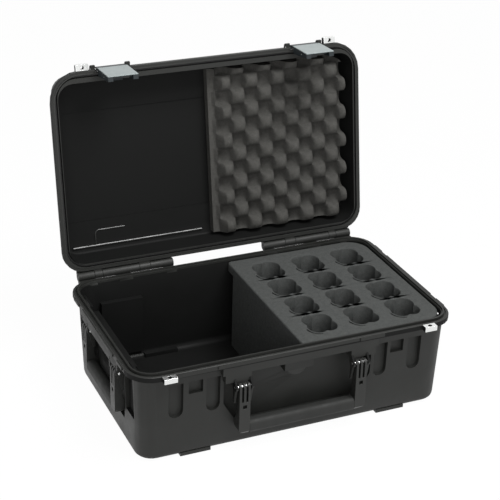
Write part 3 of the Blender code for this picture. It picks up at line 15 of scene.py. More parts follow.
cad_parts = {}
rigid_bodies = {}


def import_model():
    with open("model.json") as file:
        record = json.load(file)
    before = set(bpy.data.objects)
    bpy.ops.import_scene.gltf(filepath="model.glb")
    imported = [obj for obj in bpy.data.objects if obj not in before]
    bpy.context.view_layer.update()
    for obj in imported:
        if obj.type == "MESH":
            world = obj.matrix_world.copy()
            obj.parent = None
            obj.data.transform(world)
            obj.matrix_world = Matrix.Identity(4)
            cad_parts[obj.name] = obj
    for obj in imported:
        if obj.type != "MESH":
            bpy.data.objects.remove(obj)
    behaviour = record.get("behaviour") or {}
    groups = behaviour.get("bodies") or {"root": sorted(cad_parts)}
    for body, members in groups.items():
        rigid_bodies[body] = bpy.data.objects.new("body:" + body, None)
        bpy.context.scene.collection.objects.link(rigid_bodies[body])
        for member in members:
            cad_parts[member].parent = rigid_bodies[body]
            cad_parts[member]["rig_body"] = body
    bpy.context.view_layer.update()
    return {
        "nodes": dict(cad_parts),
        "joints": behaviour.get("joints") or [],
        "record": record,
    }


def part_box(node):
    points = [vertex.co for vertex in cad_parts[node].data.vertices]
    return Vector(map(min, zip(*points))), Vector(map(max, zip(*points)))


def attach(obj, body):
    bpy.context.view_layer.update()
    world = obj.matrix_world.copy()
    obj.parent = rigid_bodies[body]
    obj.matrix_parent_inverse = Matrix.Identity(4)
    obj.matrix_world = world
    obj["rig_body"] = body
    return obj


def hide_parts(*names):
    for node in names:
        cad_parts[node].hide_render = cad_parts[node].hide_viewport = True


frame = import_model()

bl_info = {
    "name": "Microphone case looks",
    "version": (1, 0, 0),
    "blender": (4, 5, 0),
    "location": "3D View > Sidebar > Case",
    "description": "Dresses the packed microphone case and sets its studio",
    "category": "Object",
}

# Places read from the frame
LID_JOINT = next(joint for joint in frame["joints"] if joint["name"] == "lid_hinge")
HINGE = np.array(LID_JOINT["pos_m"])
OPEN_ANGLE = np.radians(max(abs(limit) for limit in LID_JOINT["range_deg"]))
SOCKETS = [opening["box_m"] for opening in frame["record"]["physics"]["openings"]
           if opening["name"].startswith("mic_socket")]
MIC_FOAM_NODES = ("mic_foam_floor", "mic_foam_left", "mic_foam_middle", "mic_foam_right")

# Rim, lid and hinge line, in the closed position, from the case's centre
HINGE_BEHIND_CENTRE = 0.1788
RIM_HALF_X = 0.2794
RIM_HALF_Y = 0.1700
BASE_RIM = 0.1613
LID_RIM = 0.1616
LID_FRONT_CORNER = 0.0500
LID_REAR_CORNER = 0.0360
FLANGE_CORNER = 0.0430

# Seal and ridge: widths from the rim's edge inwards, drops from the lid's rim
SEAL_WIDTH = 0.0041
SEAL_SIDES = 16
RIDGE_INSETS = (0.0049, 0.0050, 0.0055, 0.0065, 0.0070, 0.0071)
RIDGE_DROPS = (-0.0006, 0.0000, 0.0001, 0.0001, 0.0000, -0.0006)

# Beads on the lid's ceiling, in the closed position, from the case's centre
CEILING_RISE = 0.0475
HOOK_START = (-0.2070, 0.1430)
HOOK_CENTRE = (-0.2000, 0.1222)
HOOK_BEND = 0.0070
HOOK_BEND_POINTS = 8
HOOK_END = (-0.1540, 0.1152)
HOOK_BEAD_RADIUS = 0.0011
LONG_BEAD_START_X = -0.2480
LONG_BEAD_END_X = -0.0120
LONG_BEAD_Y = 0.1424
LONG_BEAD_POINTS = 24
LONG_BEAD_RADIUS = 0.0021
BEAD_SUNK_SHARE = 1 / 3

# Turned pieces
PIN_SIDES = 32
PIN_CROWN_SHARE = 1 / 3
VALVE_SIDES = 64
VALVE_EDGE_SHARE = 1 / 2

# Microphone foam: its top is wide and its body narrower; the sockets are stretched front to back
SIDE_POINTS = 24
SOCKET_STRETCH = 1.18
SLIT_DEPTH = 0.0090
SLIT_HALF_ANGLE = 0.46
SLIT_RINGS = ((0.0070, 0.0), (0.0064, 0.0), (0.0058, 1.0), (0.0036, 1.0), (0.0030, 0.0))
WALL_TAPER_SHARE = 0.05
WALL_DEPTH_SHARES = (0.25, 0.5, 0.75, 0.96)
FLOOR_WIDTH_SHARES = (0.93, 0.6, 0.3)
ROUND_STEPS = 5
BLOCK_EDGE = 0.0028
BLOCK_CORNERS = (0.003, 0.033, 0.033, 0.003)
BLOCK_TOP_PART = 0.015
BODY_EAST = 0.2460
BODY_WIDTH_SHARE = 0.86

# Convoluted foam: a power squares its towers, and its west edge is a flat margin
CRATE_COLUMNS = 156
CRATE_ROWS = 180
CRATE_CORNER = 0.026
CRATE_POWER = 0.4
MARGIN_WIDTH = 0.0072
MARGIN_SLOPE = 0.012
MARGIN_LEVEL = -0.7

# Studio
WHITE = (1.0, 1.0, 1.0, 1.0)
LAMP_AIM = (0.0, 0.0, 0.2)
KEY_PLACE = (0.5, -1.0, 2.4)
KEY_SIDE = 1.2
FILL_PLACE = (-1.0, -2.4, 1.2)
FILL_SIDE = 1.6
FLOOR_COLOUR = (0.9, 0.9, 0.9, 1.0)
FLOOR_WHITE_SHARE = 0.975
SENSOR_WIDTH = 36.0

# Mesh work
MERGE_DISTANCE = 0.00001
FLAT_ANGLE = np.radians(0.5)
BEVEL_SEGMENTS = 2
SMOOTH_ANGLE = np.radians(32)
RAY_START = 0.0002
PLAIN_RIM_BAND = 0.004
LEAST_OUTWARD_SHARE = -0.2

# Noise in the materials
BROAD_DETAIL = 5.0
FINE_DETAIL = 3.0
NOISE_SHARE = 0.5
NOISE_LOW = 0.3
NOISE_HIGH = 0.7


# Shared shapes

def opened(points):
    """Points of the closed case, from its centre, turned with the lid about the hinge line."""
    x, y, z = np.moveaxis(np.asarray(points, float), -1, 0)
    y = y - HINGE_BEHIND_CENTRE
    z = z - HINGE[2]
    cosine, sine = np.cos(-OPEN_ANGLE), np.sin(-OPEN_ANGLE)
    return np.stack([x, y * cosine - z * sine + HINGE[1], y * sine + z * cosine + HINGE[2]], -1)


def closed_points(node):
    """The vertices of a node on the lid, turned back to the closed case, from its centre."""
    mesh = frame["nodes"][node].data
    flat = np.empty(len(mesh.vertices) * 3)
    mesh.vertices.foreach_get("co", flat)
    x, y, z = flat.reshape(-1, 3).T
    y = y - HINGE[1]
    z = z - HINGE[2]
    cosine, sine = np.cos(OPEN_ANGLE), np.sin(OPEN_ANGLE)
    return np.stack([x, y * cosine - z * sine + HINGE_BEHIND_CENTRE,
                     y * sine + z * cosine + HINGE[2]], -1)


def grid_faces(rows, columns, wrap_rows=False, wrap_columns=False):
    """Quads of a grid of points, row by row, joined round at the ends where it wraps."""
    row, column = np.meshgrid(np.arange(rows - (not wrap_rows)),
                              np.arange(columns - (not wrap_columns)), indexing="ij")
    next_row = (row + 1) % rows
    next_column = (column + 1) % columns
    corners = [row * columns + column, row * columns + next_column,
               next_row * columns + next_column, next_row * columns + column]
    return np.stack(corners, -1).reshape(-1, 4)


def linked(name, data):
    """A new object with this data, linked to the scene."""
    thing = bpy.data.objects.new(name, data)
    bpy.context.scene.collection.objects.link(thing)
    return thing


def new_piece(name, parts, material):
    """A mesh object from (points, faces) parts, merged where they touch, with faces outwards."""
    points, faces, start = [], [], 0
    for part_points, part_faces in parts:
        part_points = np.asarray(part_points, float).reshape(-1, 3)
        points.append(part_points)
        faces += (np.asarray(part_faces) + start).tolist()
        start += len(part_points)
    mesh = bpy.data.meshes.new(name)
    mesh.from_pydata(np.concatenate(points).tolist(), [], faces)
    shape = bmesh.new()
    shape.from_mesh(mesh)
    bmesh.ops.remove_doubles(shape, verts=shape.verts, dist=MERGE_DISTANCE)
    bmesh.ops.recalc_face_normals(shape, faces=shape.faces)
    shape.to_mesh(mesh)
    shape.free()
    mesh.materials.append(material)
    mesh.shade_smooth()
    mesh.set_sharp_from_angle(angle=SMOOTH_ANGLE)
    return linked(name, mesh)


def shaded_faces_inside(shape, out, rim_point):
    """The faces that look out of a shell's mouth: a ray along out meets no wall, and they get the
    darker lining that is painted shade. The band next to the rim keeps the outside's finish."""
    tree = BVHTree.FromBMesh(shape)
    found = []
    for face in shape.faces:
        start = face.calc_center_median() + face.normal * RAY_START
        if (Vector(rim_point) - start).dot(out) < PLAIN_RIM_BAND:
            continue
        if tree.ray_cast(start, out)[0] is None and face.normal.dot(out) > LEAST_OUTWARD_SHARE:
            found.append(face)
    return found


def softened_copy(node, material, edge_radius, shade_lining=None):
    """A node's own shape with rounded edges: its flat faces are joined, then the edges bevelled.
    The last argument holds the material, outward direction and a rim point for the faces inside a
    shell; that darker material is painted shade."""
    mesh = frame["nodes"][node].data.copy()
    mesh.name = node + "_finished"
    mesh.materials.clear()
    mesh.materials.append(material)
    shape = bmesh.new()
    shape.from_mesh(mesh)
    bmesh.ops.remove_doubles(shape, verts=shape.verts, dist=MERGE_DISTANCE)
    bmesh.ops.dissolve_limit(shape, angle_limit=FLAT_ANGLE, verts=shape.verts, edges=shape.edges)
    # Faces inside the shell get the darker material: painted shade.
    if shade_lining:
        inner, out, rim_point = shade_lining
        mesh.materials.append(inner)
        for face in shape.faces:
            face.material_index = 0
        for face in shaded_faces_inside(shape, Vector(out), rim_point):
            face.material_index = 1
    shape.to_mesh(mesh)
    shape.free()
    mesh.shade_smooth()
    mesh.set_sharp_from_angle(angle=SMOOTH_ANGLE)
    piece = linked(node + "_finished", mesh)
    bevel = piece.modifiers.new("Soft edges", "BEVEL")
    bevel.width = edge_radius
    bevel.segments = BEVEL_SEGMENTS
    bevel.limit_method = "ANGLE"
    bevel.angle_limit = SMOOTH_ANGLE
    bevel.harden_normals = True
    bevel.use_clamp_overlap = True
    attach(piece, frame["nodes"][node]["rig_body"])
    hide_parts(node)
    return piece


def corner_arc(centre, radius, start, end, count):
    """Points on an arc in a plane, as a (count, 2) array."""
    angle = np.linspace(start, end, count)
    return np.stack([centre[0] + radius * np.cos(angle), centre[1] + radius * np.sin(angle)], -1)


def rounded_ring(half_x, half_y, front_radius, rear_radius, count=12):
    """A rounded rectangle about the centre, anticlockwise, with its outward directions."""
    quarter = np.pi / 2
    ring, outward = [], []
    for sign_x, sign_y, radius, start in ((1, -1, front_radius, -quarter), (1, 1, rear_radius, 0.0),
                                          (-1, 1, rear_radius, quarter),
                                          (-1, -1, front_radius, 2 * quarter)):
        centre = (sign_x * (half_x - radius), sign_y * (half_y - radius))
        ring.append(corner_arc(centre, radius, start, start + quarter, count))
        outward.append(corner_arc((0.0, 0.0), 1.0, start, start + quarter, count))
    return np.concatenate(ring), np.concatenate(outward)


def swept(profile, ring, outward):
    """A closed profile of (offset inwards, height) pairs carried round a ring."""
    profile = np.asarray(profile, float)
    flat = ring[:, None, :] - outward[:, None, :] * profile[None, :, :1]
    height = np.broadcast_to(profile[None, :, 1:], flat.shape[:2] + (1,))
    points = np.concatenate([flat, height], -1)
    return points, grid_faces(len(ring), len(profile), True, True)


def turned(profile, centre, axis, across, count=48):
    """A profile of (distance along the axis, radius) pairs turned about an axis."""
    profile = np.asarray(profile, float)
    axis = np.asarray(axis, float)
    across = np.asarray(across, float)
    third = np.cross(axis, across)
    angle = np.linspace(0.0, 2 * np.pi, count, endpoint=False)
    spoke = np.cos(angle)[:, None] * across + np.sin(angle)[:, None] * third
    points = (np.asarray(centre, float) + profile[None, :, :1] * axis
              + profile[None, :, 1:] * spoke[:, None, :])
    return points, grid_faces(count, len(profile), True, False)


def bead(path, radius, count=10):
    """A round cord of plastic along a path in a level plane: a circle carried along the path,
    square to it, and drawn to a point at both ends."""
    path = np.asarray(path, float)
    along = np.gradient(path, axis=0)
    along /= np.linalg.norm(along, axis=1)[:, None]
    across = np.stack([-along[:, 1], along[:, 0], np.zeros(len(path))], -1)
    angle = np.linspace(0.0, 2 * np.pi, count, endpoint=False)
    ring = (across[:, None] * np.cos(angle)[None, :, None]
            + np.array([0.0, 0.0, 1.0]) * np.sin(angle)[None, :, None]) * radius
    body = path[:, None] + ring
    ends = [np.broadcast_to(path[end], (1, count, 3)) for end in (0, -1)]
    points = np.concatenate([ends[0], body, ends[1]])
    return points, grid_faces(len(points), count, False, True)


# Materials

def blank_material(name):
    """A node material with its output and one Principled shader, and its nodes and links."""
    material = bpy.data.materials.new(name)
    material.use_nodes = True
    return material, material.node_tree.nodes, material.node_tree.links


def textured(material_name, colour, roughness, mottle, mottle_scale, grain_scale, grain_depth,
             roughness_swing=0.08, metallic=0.0, specular=0.5, stretch=(1.0, 1.0, 1.0), pores=0.0):
    """A surface with mottled colour and roughness and a fine grain, all from noise. Scales are
    features per metre; pores is the same for the round cells of foam, or 0 for none."""
    material, nodes, links = blank_material(material_name)
    shader = nodes["Principled BSDF"]
    shader.inputs["Metallic"].default_value = metallic
    shader.inputs["Specular IOR Level"].default_value = specular
    place = nodes.new("ShaderNodeTexCoord")
    mapping = nodes.new("ShaderNodeMapping")
    mapping.inputs["Scale"].default_value = stretch
    links.new(place.outputs["Object"], mapping.inputs["Vector"])
    broad = nodes.new("ShaderNodeTexNoise")
    broad.inputs["Scale"].default_value = mottle_scale
    broad.inputs["Detail"].default_value = BROAD_DETAIL
    links.new(mapping.outputs["Vector"], broad.inputs["Vector"])
    fine = nodes.new("ShaderNodeTexNoise")
    fine.inputs["Scale"].default_value = grain_scale
    fine.inputs["Detail"].default_value = FINE_DETAIL
    links.new(mapping.outputs["Vector"], fine.inputs["Vector"])
    tint = nodes.new("ShaderNodeMix")
    tint.data_type = "RGBA"
    tint.inputs["A"].default_value = (*[channel * (1 - mottle) for channel in colour], 1.0)
    tint.inputs["B"].default_value = (*[channel * (1 + mottle) for channel in colour], 1.0)
    blend = nodes.new("ShaderNodeMath")
    blend.operation = "MULTIPLY_ADD"
    blend.inputs[1].default_value = NOISE_SHARE
    links.new(fine.outputs["Fac"], blend.inputs[0])
    half = nodes.new("ShaderNodeMath")
    half.operation = "MULTIPLY"
    half.inputs[1].default_value = 1.0 - NOISE_SHARE
    links.new(broad.outputs["Fac"], half.inputs[0])
    links.new(half.outputs[0], blend.inputs[2])
    links.new(blend.outputs[0], tint.inputs["Factor"])
    links.new(tint.outputs["Result"], shader.inputs["Base Color"])
    gloss = nodes.new("ShaderNodeMapRange")
    gloss.inputs["From Min"].default_value = NOISE_LOW
    gloss.inputs["From Max"].default_value = NOISE_HIGH
    gloss.inputs["To Min"].default_value = roughness - roughness_swing
    gloss.inputs["To Max"].default_value = roughness + roughness_swing
    links.new(broad.outputs["Fac"], gloss.inputs["Value"])
    links.new(gloss.outputs["Result"], shader.inputs["Roughness"])
    bump = nodes.new("ShaderNodeBump")
    bump.inputs["Strength"].default_value = 1.0
    bump.inputs["Distance"].default_value = grain_depth
    if pores:
        cells = nodes.new("ShaderNodeTexVoronoi")
        cells.inputs["Scale"].default_value = pores
        links.new(mapping.outputs["Vector"], cells.inputs["Vector"])
        rough = nodes.new("ShaderNodeMath")
        rough.operation = "ADD"
        links.new(cells.outputs["Distance"], rough.inputs[0])
        links.new(fine.outputs["Fac"], rough.inputs[1])
        links.new(rough.outputs[0], bump.inputs["Height"])
    else:
        links.new(fine.outputs["Fac"], bump.inputs["Height"])
    links.new(bump.outputs["Normal"], shader.inputs["Normal"])
    return material


def finish_settings():
    """The scene's colours and textures."""
    return bpy.context.scene.case_finish


def shell_plastic():
    """Moulded polymer with a fine spark-eroded grain."""
    settings = finish_settings()
    return textured("shell_plastic", settings.shell_colour, settings.shell_roughness,
                    mottle=0.12, mottle_scale=22.0, grain_scale=1300.0,
                    grain_depth=settings.grain_depth, specular=0.32)


def shaded_lining_plastic():
    """The inside of the shells: a finer grain, and a darker colour that is painted shade in the
    hollow of each shell.
    """
    settings = finish_settings()
    return textured("shaded_lining_plastic", settings.shaded_lining_colour, settings.shell_roughness + 0.06,
                    mottle=0.12, mottle_scale=14.0, grain_scale=1200.0,
                    grain_depth=0.5 * settings.grain_depth, specular=0.09)


def bead_plastic():
    """The glossy raised beads inside the lid."""
    settings = finish_settings()
    return textured("bead_plastic", settings.shell_colour, roughness=0.34,
                    mottle=0.10, mottle_scale=60.0, grain_scale=1500.0,
                    grain_depth=0.5 * settings.grain_depth, specular=0.6)


def handle_plastic():
    """The handle frames' polymer, a little smoother than the shell."""
    settings = finish_settings()
    return textured("handle_plastic", settings.shell_colour, settings.shell_roughness - 0.08,
                    mottle=0.08, mottle_scale=30.0, grain_scale=1700.0,
                    grain_depth=settings.grain_depth, specular=0.4)


def grip_rubber():
    """Dull rubber of the handles' sleeves."""
    settings = finish_settings()
    return textured("grip_rubber", settings.grip_colour, roughness=0.68,
                    mottle=0.10, mottle_scale=40.0, grain_scale=1100.0,
                    grain_depth=1.4 * settings.grain_depth, specular=0.35)


def latch_plastic():
    """Blue-black polymer of the latches and their triggers."""
    settings = finish_settings()
    return textured("latch_plastic", settings.latch_colour, roughness=0.45,
                    mottle=0.08, mottle_scale=40.0, grain_scale=1800.0,
                    grain_depth=settings.grain_depth, specular=0.45)


def plate_enamel():
    """Satin grey face plates of the latches."""
    settings = finish_settings()
    return textured("plate_enamel", settings.plate_colour, roughness=0.36,
                    mottle=0.05, mottle_scale=60.0, grain_scale=2200.0,
                    grain_depth=0.4 * settings.grain_depth)


def brushed_steel():
    """Bright stainless steel, brushed along X."""
    settings = finish_settings()
    return textured("brushed_steel", settings.steel_colour, roughness=0.28,
                    mottle=0.05, mottle_scale=90.0, grain_scale=900.0,
                    grain_depth=0.3 * settings.grain_depth, metallic=1.0,
                    stretch=(0.05, 1.0, 1.0))


def black_oxide():
    """Steel hinge pins with a black finish."""
    settings = finish_settings()
    return textured("black_oxide", settings.hinge_pin_colour, roughness=0.42,
                    mottle=0.10, mottle_scale=80.0, grain_scale=1200.0,
                    grain_depth=settings.grain_depth / 3)


def seal_rubber():
    """Black rubber of the lid's seal."""
    settings = finish_settings()
    return textured("seal_rubber", settings.seal_colour, roughness=0.6,
                    mottle=0.1, mottle_scale=50.0, grain_scale=1300.0,
                    grain_depth=settings.grain_depth, specular=0.4)


def open_cell_foam(name, colour):
    """Open-cell foam: pores of under a millimetre and a soft speckle."""
    settings = finish_settings()
    return textured(name, colour, roughness=0.95, mottle=0.55, mottle_scale=150.0,
                    grain_scale=420.0, grain_depth=settings.pore_depth, roughness_swing=0.03,
                    specular=0.06, pores=900.0)


# Settings

class CaseFinish(bpy.types.PropertyGroup):
    """Colours and textures of the case's materials"""
    shell_colour: FloatVectorProperty(
        name="Shell colour", description="Moulded base and lid", subtype="COLOR", size=3,
        min=0.0, max=1.0, default=(0.0115, 0.0120, 0.0108))
    # Darker than the shell colour: painted shade for the faces inside the base and lid.
    shaded_lining_colour: FloatVectorProperty(
        name="Lining colour", description="Inside faces of the base and lid", subtype="COLOR",
        size=3, min=0.0, max=1.0, default=(0.0066, 0.0068, 0.0066))
    grip_colour: FloatVectorProperty(
        name="Grip colour", description="Sleeves on the three handles", subtype="COLOR", size=3,
        min=0.0, max=1.0, default=(0.0125, 0.0130, 0.0120))
    latch_colour: FloatVectorProperty(
        name="Latch colour", description="Latch bodies and triggers", subtype="COLOR", size=3,
        min=0.0, max=1.0, default=(0.009, 0.013, 0.015))
    plate_colour: FloatVectorProperty(
        name="Latch plate colour", description="Face plates of the latches", subtype="COLOR",
        size=3, min=0.0, max=1.0, default=(0.235, 0.268, 0.268))
    steel_colour: FloatVectorProperty(
        name="Steel colour", description="Padlock plates, latch and handle pins",
        subtype="COLOR", size=3, min=0.0, max=1.0, default=(0.80, 0.81, 0.80))
    hinge_pin_colour: FloatVectorProperty(
        name="Hinge pin colour", description="Blackened pins of the lid's hinges",
        subtype="COLOR", size=3, min=0.0, max=1.0, default=(0.018, 0.018, 0.019))
    seal_colour: FloatVectorProperty(
        name="Seal colour", description="Rubber seal in the lid", subtype="COLOR", size=3,
        min=0.0, max=1.0, default=(0.012, 0.012, 0.012))
    block_colour: FloatVectorProperty(
        name="Block foam colour", description="Foam block in the base", subtype="COLOR", size=3,
        min=0.0, max=1.0, default=(0.066, 0.069, 0.067))
    crate_colour: FloatVectorProperty(
        name="Lid foam colour", description="Convoluted foam in the lid", subtype="COLOR", size=3,
        min=0.0, max=1.0, default=(0.060, 0.059, 0.055))
    shell_roughness: FloatProperty(
        name="Shell roughness", description="Mean roughness of the moulded shells",
        subtype="FACTOR", min=0.2, max=0.9, default=0.52)
    grain_depth: FloatProperty(
        name="Grain depth", description="Height of the moulded grain", unit="LENGTH",
        min=0.0, max=0.001, default=0.00006)
    pore_depth: FloatProperty(
        name="Pore depth", description="Depth of the foam's open pores", unit="LENGTH",
        min=0.0, max=0.002, default=0.0005)


class CaseEdges(bpy.types.PropertyGroup):
    """Edge radii and foam sizes"""
    shell_edge: FloatProperty(
        name="Shell edge", description="Radius on the edges of the moulded shells",
        unit="LENGTH", min=0.0001, max=0.002, default=0.0007)
    hardware_edge: FloatProperty(
        name="Hardware edge", description="Radius on the edges of latches, handles and plates",
        unit="LENGTH", min=0.0001, max=0.001, default=0.0004)
    lobe_radius: FloatProperty(
        name="Lobe radius", description="Radius of each of a socket's four lobes",
        unit="LENGTH", min=0.005, max=0.03, default=0.0158)
    lobe_offset: FloatProperty(
        name="Lobe offset", description="From a socket's centre to the middle of a lobe",
        unit="LENGTH", min=0.005, max=0.03, default=0.0125)
    socket_depth: FloatProperty(
        name="Socket depth", description="Depth of the microphone sockets",
        unit="LENGTH", min=0.02, max=0.15, default=0.100)
    lip_radius: FloatProperty(
        name="Lip radius", description="Softness of cut foam edges",
        unit="LENGTH", min=0.0005, max=0.005, default=0.0018)
    crate_pitch: FloatProperty(
        name="Crate pitch", description="From a peak of the lid foam to the next valley",
        unit="LENGTH", min=0.01, max=0.05, default=0.0254)
    crate_valley: FloatProperty(
        name="Crate valley", description="Thickness of the lid foam in its valleys",
        unit="LENGTH", min=0.005, max=0.03, default=0.0100)
    crate_peak: FloatProperty(
        name="Crate peak", description="Thickness of the lid foam at its peaks",
        unit="LENGTH", min=0.01, max=0.05, default=0.0380)


class CaseStudio(bpy.types.PropertyGroup):
    """Camera and light"""
    camera_place: FloatVectorProperty(
        name="Camera place", description="Where the camera stands", subtype="TRANSLATION",
        unit="LENGTH", size=3, default=(-0.866716, -1.937645, 1.271561))
    camera_aim: FloatVectorProperty(
        name="Camera aim", description="The direction that the camera looks in",
        subtype="DIRECTION", size=3, default=(0.367658, 0.819267, -0.440033))
    camera_up: FloatVectorProperty(
        name="Camera up", description="The camera's upward direction",
        subtype="DIRECTION", size=3, default=(0.154728, 0.412688, 0.897635))
    lens: FloatProperty(
        name="Lens", description="Focal length on a 36 mm sensor, in millimetres",
        min=20.0, max=200.0, default=102.6)
    key_watts: FloatProperty(
        name="Key light", description="Power of the large lamp overhead", subtype="POWER",
        min=0.0, default=70.0)
    fill_watts: FloatProperty(
        name="Fill light", description="Power of the large lamp in front", subtype="POWER",
        min=0.0, default=30.0)
    sky_level: FloatProperty(
        name="Sky level", description="Strength of the even light from all round",
        min=0.0, default=0.30)
    floor_half: FloatProperty(
        name="Floor size", description="Half the side of the floor", unit="LENGTH",
        min=1.0, default=9.0)


# Operators

class CASE_OT_shells(bpy.types.Operator):
    """Finish the moulded base and lid with soft edges and a moulded grain, and a darker lining
    inside as painted shade
    """
    bl_idname = "case.shells"
    bl_label = "Shells"

    def execute(self, context):
        # The lining material is darker than the shell: painted shade inside the base and lid.
        plastic, inner = shell_plastic(), shaded_lining_plastic()
        edge = context.scene.case_edges.shell_edge
        lid_out = opened([0.0, 0.0, 0.0]) - opened([0.0, 0.0, 1.0])
        shade_linings = {"base_shell": (inner, (0.0, 0.0, 1.0), (0.0, 0.0, BASE_RIM)),
                   "lid_shell": (inner, lid_out, opened([0.0, 0.0, LID_RIM]))}
        for node, shade_lining in shade_linings.items():
            softened_copy(node, plastic, edge, shade_lining=shade_lining)
        return {"FINISHED"}


class CASE_OT_seal(bpy.types.Operator):
    """Lay the rubber seal and the lid's sealing ridge round the rim"""
    bl_idname = "case.seal"
    bl_label = "Seal and ridge"

    def execute(self, context):
        ring, outward = rounded_ring(RIM_HALF_X, RIM_HALF_Y, FLANGE_CORNER, FLANGE_CORNER)
        seal = closed_points("lid_gasket")
        high, low = seal[:, 2].max(), seal[:, 2].min()
        middle = RIM_HALF_X - seal[:, 0].max() + SEAL_WIDTH / 2
        angle = np.linspace(0.0, 2 * np.pi, SEAL_SIDES, endpoint=False)
        oval = np.stack([middle + SEAL_WIDTH / 2 * np.cos(angle),
                         (high + low) / 2 - (high - low) / 2 * np.sin(angle)], -1)
        points, faces = swept(oval, ring, outward)
        piece = new_piece("lid_seal", [(opened(points), faces)], seal_rubber())
        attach(piece, "lid")
        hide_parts("lid_gasket")
        ring, outward = rounded_ring(RIM_HALF_X, RIM_HALF_Y, LID_FRONT_CORNER, LID_REAR_CORNER)
        ridge = np.stack([RIDGE_INSETS, LID_RIM - np.array(RIDGE_DROPS)], -1)
        points, faces = swept(ridge, ring, outward)
        piece = new_piece("lid_ridge", [(opened(points), faces)], handle_plastic())
        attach(piece, "lid")
        return {"FINISHED"}


class CASE_OT_lid_beads(bpy.types.Operator):
    """Mould the beads on the lid's ceiling: one along the hinge side and a hooked one"""
    bl_idname = "case.lid_beads"
    bl_label = "Lid beads"

    def execute(self, context):
        bend = corner_arc(HOOK_CENTRE, HOOK_BEND, np.pi, 1.5 * np.pi, HOOK_BEND_POINTS)
        hook = np.concatenate([[HOOK_START], bend, [HOOK_END]])
        along = np.linspace(LONG_BEAD_START_X, LONG_BEAD_END_X, LONG_BEAD_POINTS)
        lengthwise = np.stack([along, np.full(len(along), LONG_BEAD_Y)], -1)
        parts = []
        for flat, radius in ((hook, HOOK_BEAD_RADIUS), (lengthwise, LONG_BEAD_RADIUS)):
            level = LID_RIM + CEILING_RISE - radius * BEAD_SUNK_SHARE
            points, faces = bead(np.c_[flat, np.full(len(flat), level)], radius)
            parts.append((opened(points), faces))
        piece = new_piece("lid_beads", parts, bead_plastic())
        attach(piece, "lid")
        return {"FINISHED"}


class CASE_OT_plates(bpy.types.Operator):
    """Finish the padlock plates and the pins in brushed steel, the hinge pins in black"""
    bl_idname = "case.plates"
    bl_label = "Plates and pins"

    def execute(self, context):
        steel, black = brushed_steel(), black_oxide()
        for node in frame["nodes"]:
            if "padlock_plate" in node:
                piece = softened_copy(node, steel, context.scene.case_edges.hardware_edge)
            elif "_pin_" in node:
                low, high = (np.array(corner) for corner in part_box(node))
                size = high - low
                along = int(np.argmax(size))
                radius = np.delete(size, along).min() / 2
                axis = np.eye(3)[along]
                across = np.eye(3)[(along + 1) % 3]
                centre = (low + high) / 2
                half = size[along] / 2
                crown = radius * PIN_CROWN_SHARE
                bulge = crown / 3
                end = [(-half, 0.0), (-half, radius - crown), (-half + bulge, radius - bulge),
                       (-half + crown, radius)]
                profile = end + [(-place, reach) for place, reach in reversed(end)]
                dark = node.startswith("hinge_pin")
                piece = new_piece(node + "_finished",
                                  [turned(profile, centre, axis, across, PIN_SIDES)],
                                  black if dark else steel)
                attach(piece, frame["nodes"][node]["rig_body"])
                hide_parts(node)
        return {"FINISHED"}


class CASE_OT_latches(bpy.types.Operator):
    """Finish both latches: dark bodies and triggers with grey face plates"""
    bl_idname = "case.latches"
    bl_label = "Latches"

    def execute(self, context):
        edge = context.scene.case_edges.hardware_edge
        dark, grey = latch_plastic(), plate_enamel()
        for side in ("left", "right"):
            for word in ("latch_body_", "latch_trigger_"):
                softened_copy(word + side, dark, edge)
            softened_copy("latch_plate_" + side, grey, edge)
        return {"FINISHED"}


class CASE_OT_handles(bpy.types.Operator):
    """Finish the three handles: moulded frames with rubber sleeves"""
    bl_idname = "case.handles"
    bl_label = "Handles"

    def execute(self, context):
        edge = context.scene.case_edges.hardware_edge
        plastic, rubber = handle_plastic(), grip_rubber()
        for name in ("front_handle", "left_handle", "right_handle"):
            softened_copy(name + "_frame", plastic, edge)
            softened_copy(name + "_grip", rubber, edge)
        return {"FINISHED"}


class CASE_OT_valve(bpy.types.Operator):
    """Turn the pressure valve's body and its stepped cap"""
    bl_idname = "case.valve"
    bl_label = "Pressure valve"

    def execute(self, context):
        plastic = handle_plastic()
        for node in ("valve_body", "valve_cap"):
            low, high = (np.array(corner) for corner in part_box(node))
            centre = (low + high) / 2
            half = (high[1] - low[1]) / 2
            radius = (high[0] - low[0]) / 2
            edge = half * VALVE_EDGE_SHARE
            profile = [(-half, 0.0), (-half, radius - 3 * edge), (-half + edge / 3, radius - edge),
                       (-half + edge, radius), (half, radius), (half, 0.0)]
            piece = new_piece(node + "_finished",
                              [turned(profile, centre, (0, 1, 0), (1, 0, 0), VALVE_SIDES)],
                              plastic)
            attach(piece, "base")
            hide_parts(node)
        return {"FINISHED"}


def clover(angle, radius, offset):
    """Distance from a socket's centre to its four-lobed outline: the far side of a circle whose
    middle lies offset along the nearest diagonal."""
    aside = np.mod(angle, np.pi / 2) - np.pi / 4
    return offset * np.cos(aside) + np.sqrt(radius ** 2 - (offset * np.sin(aside)) ** 2)


def kept_round(points, low, high, radii):
    """Points pulled inside a rectangle's rounded corners, along the line to each corner's centre.
    radii go south-west, south-east, north-east, north-west."""
    points = points.copy()
    for sign_x, sign_y, radius in zip((-1, 1, 1, -1), (-1, -1, 1, 1), radii):
        corner = np.array([high[0] - radius if sign_x > 0 else low[0] + radius,
                           high[1] - radius if sign_y > 0 else low[1] + radius])
        away = points - corner
        distance = np.linalg.norm(away, axis=-1)
        outside = (away[..., 0] * sign_x > 0) & (away[..., 1] * sign_y > 0) & (distance > radius)
        pulled = corner + away * (radius / np.maximum(distance, 1e-9))[..., None]
        points = np.where(outside[..., None], pulled, points)
    return points


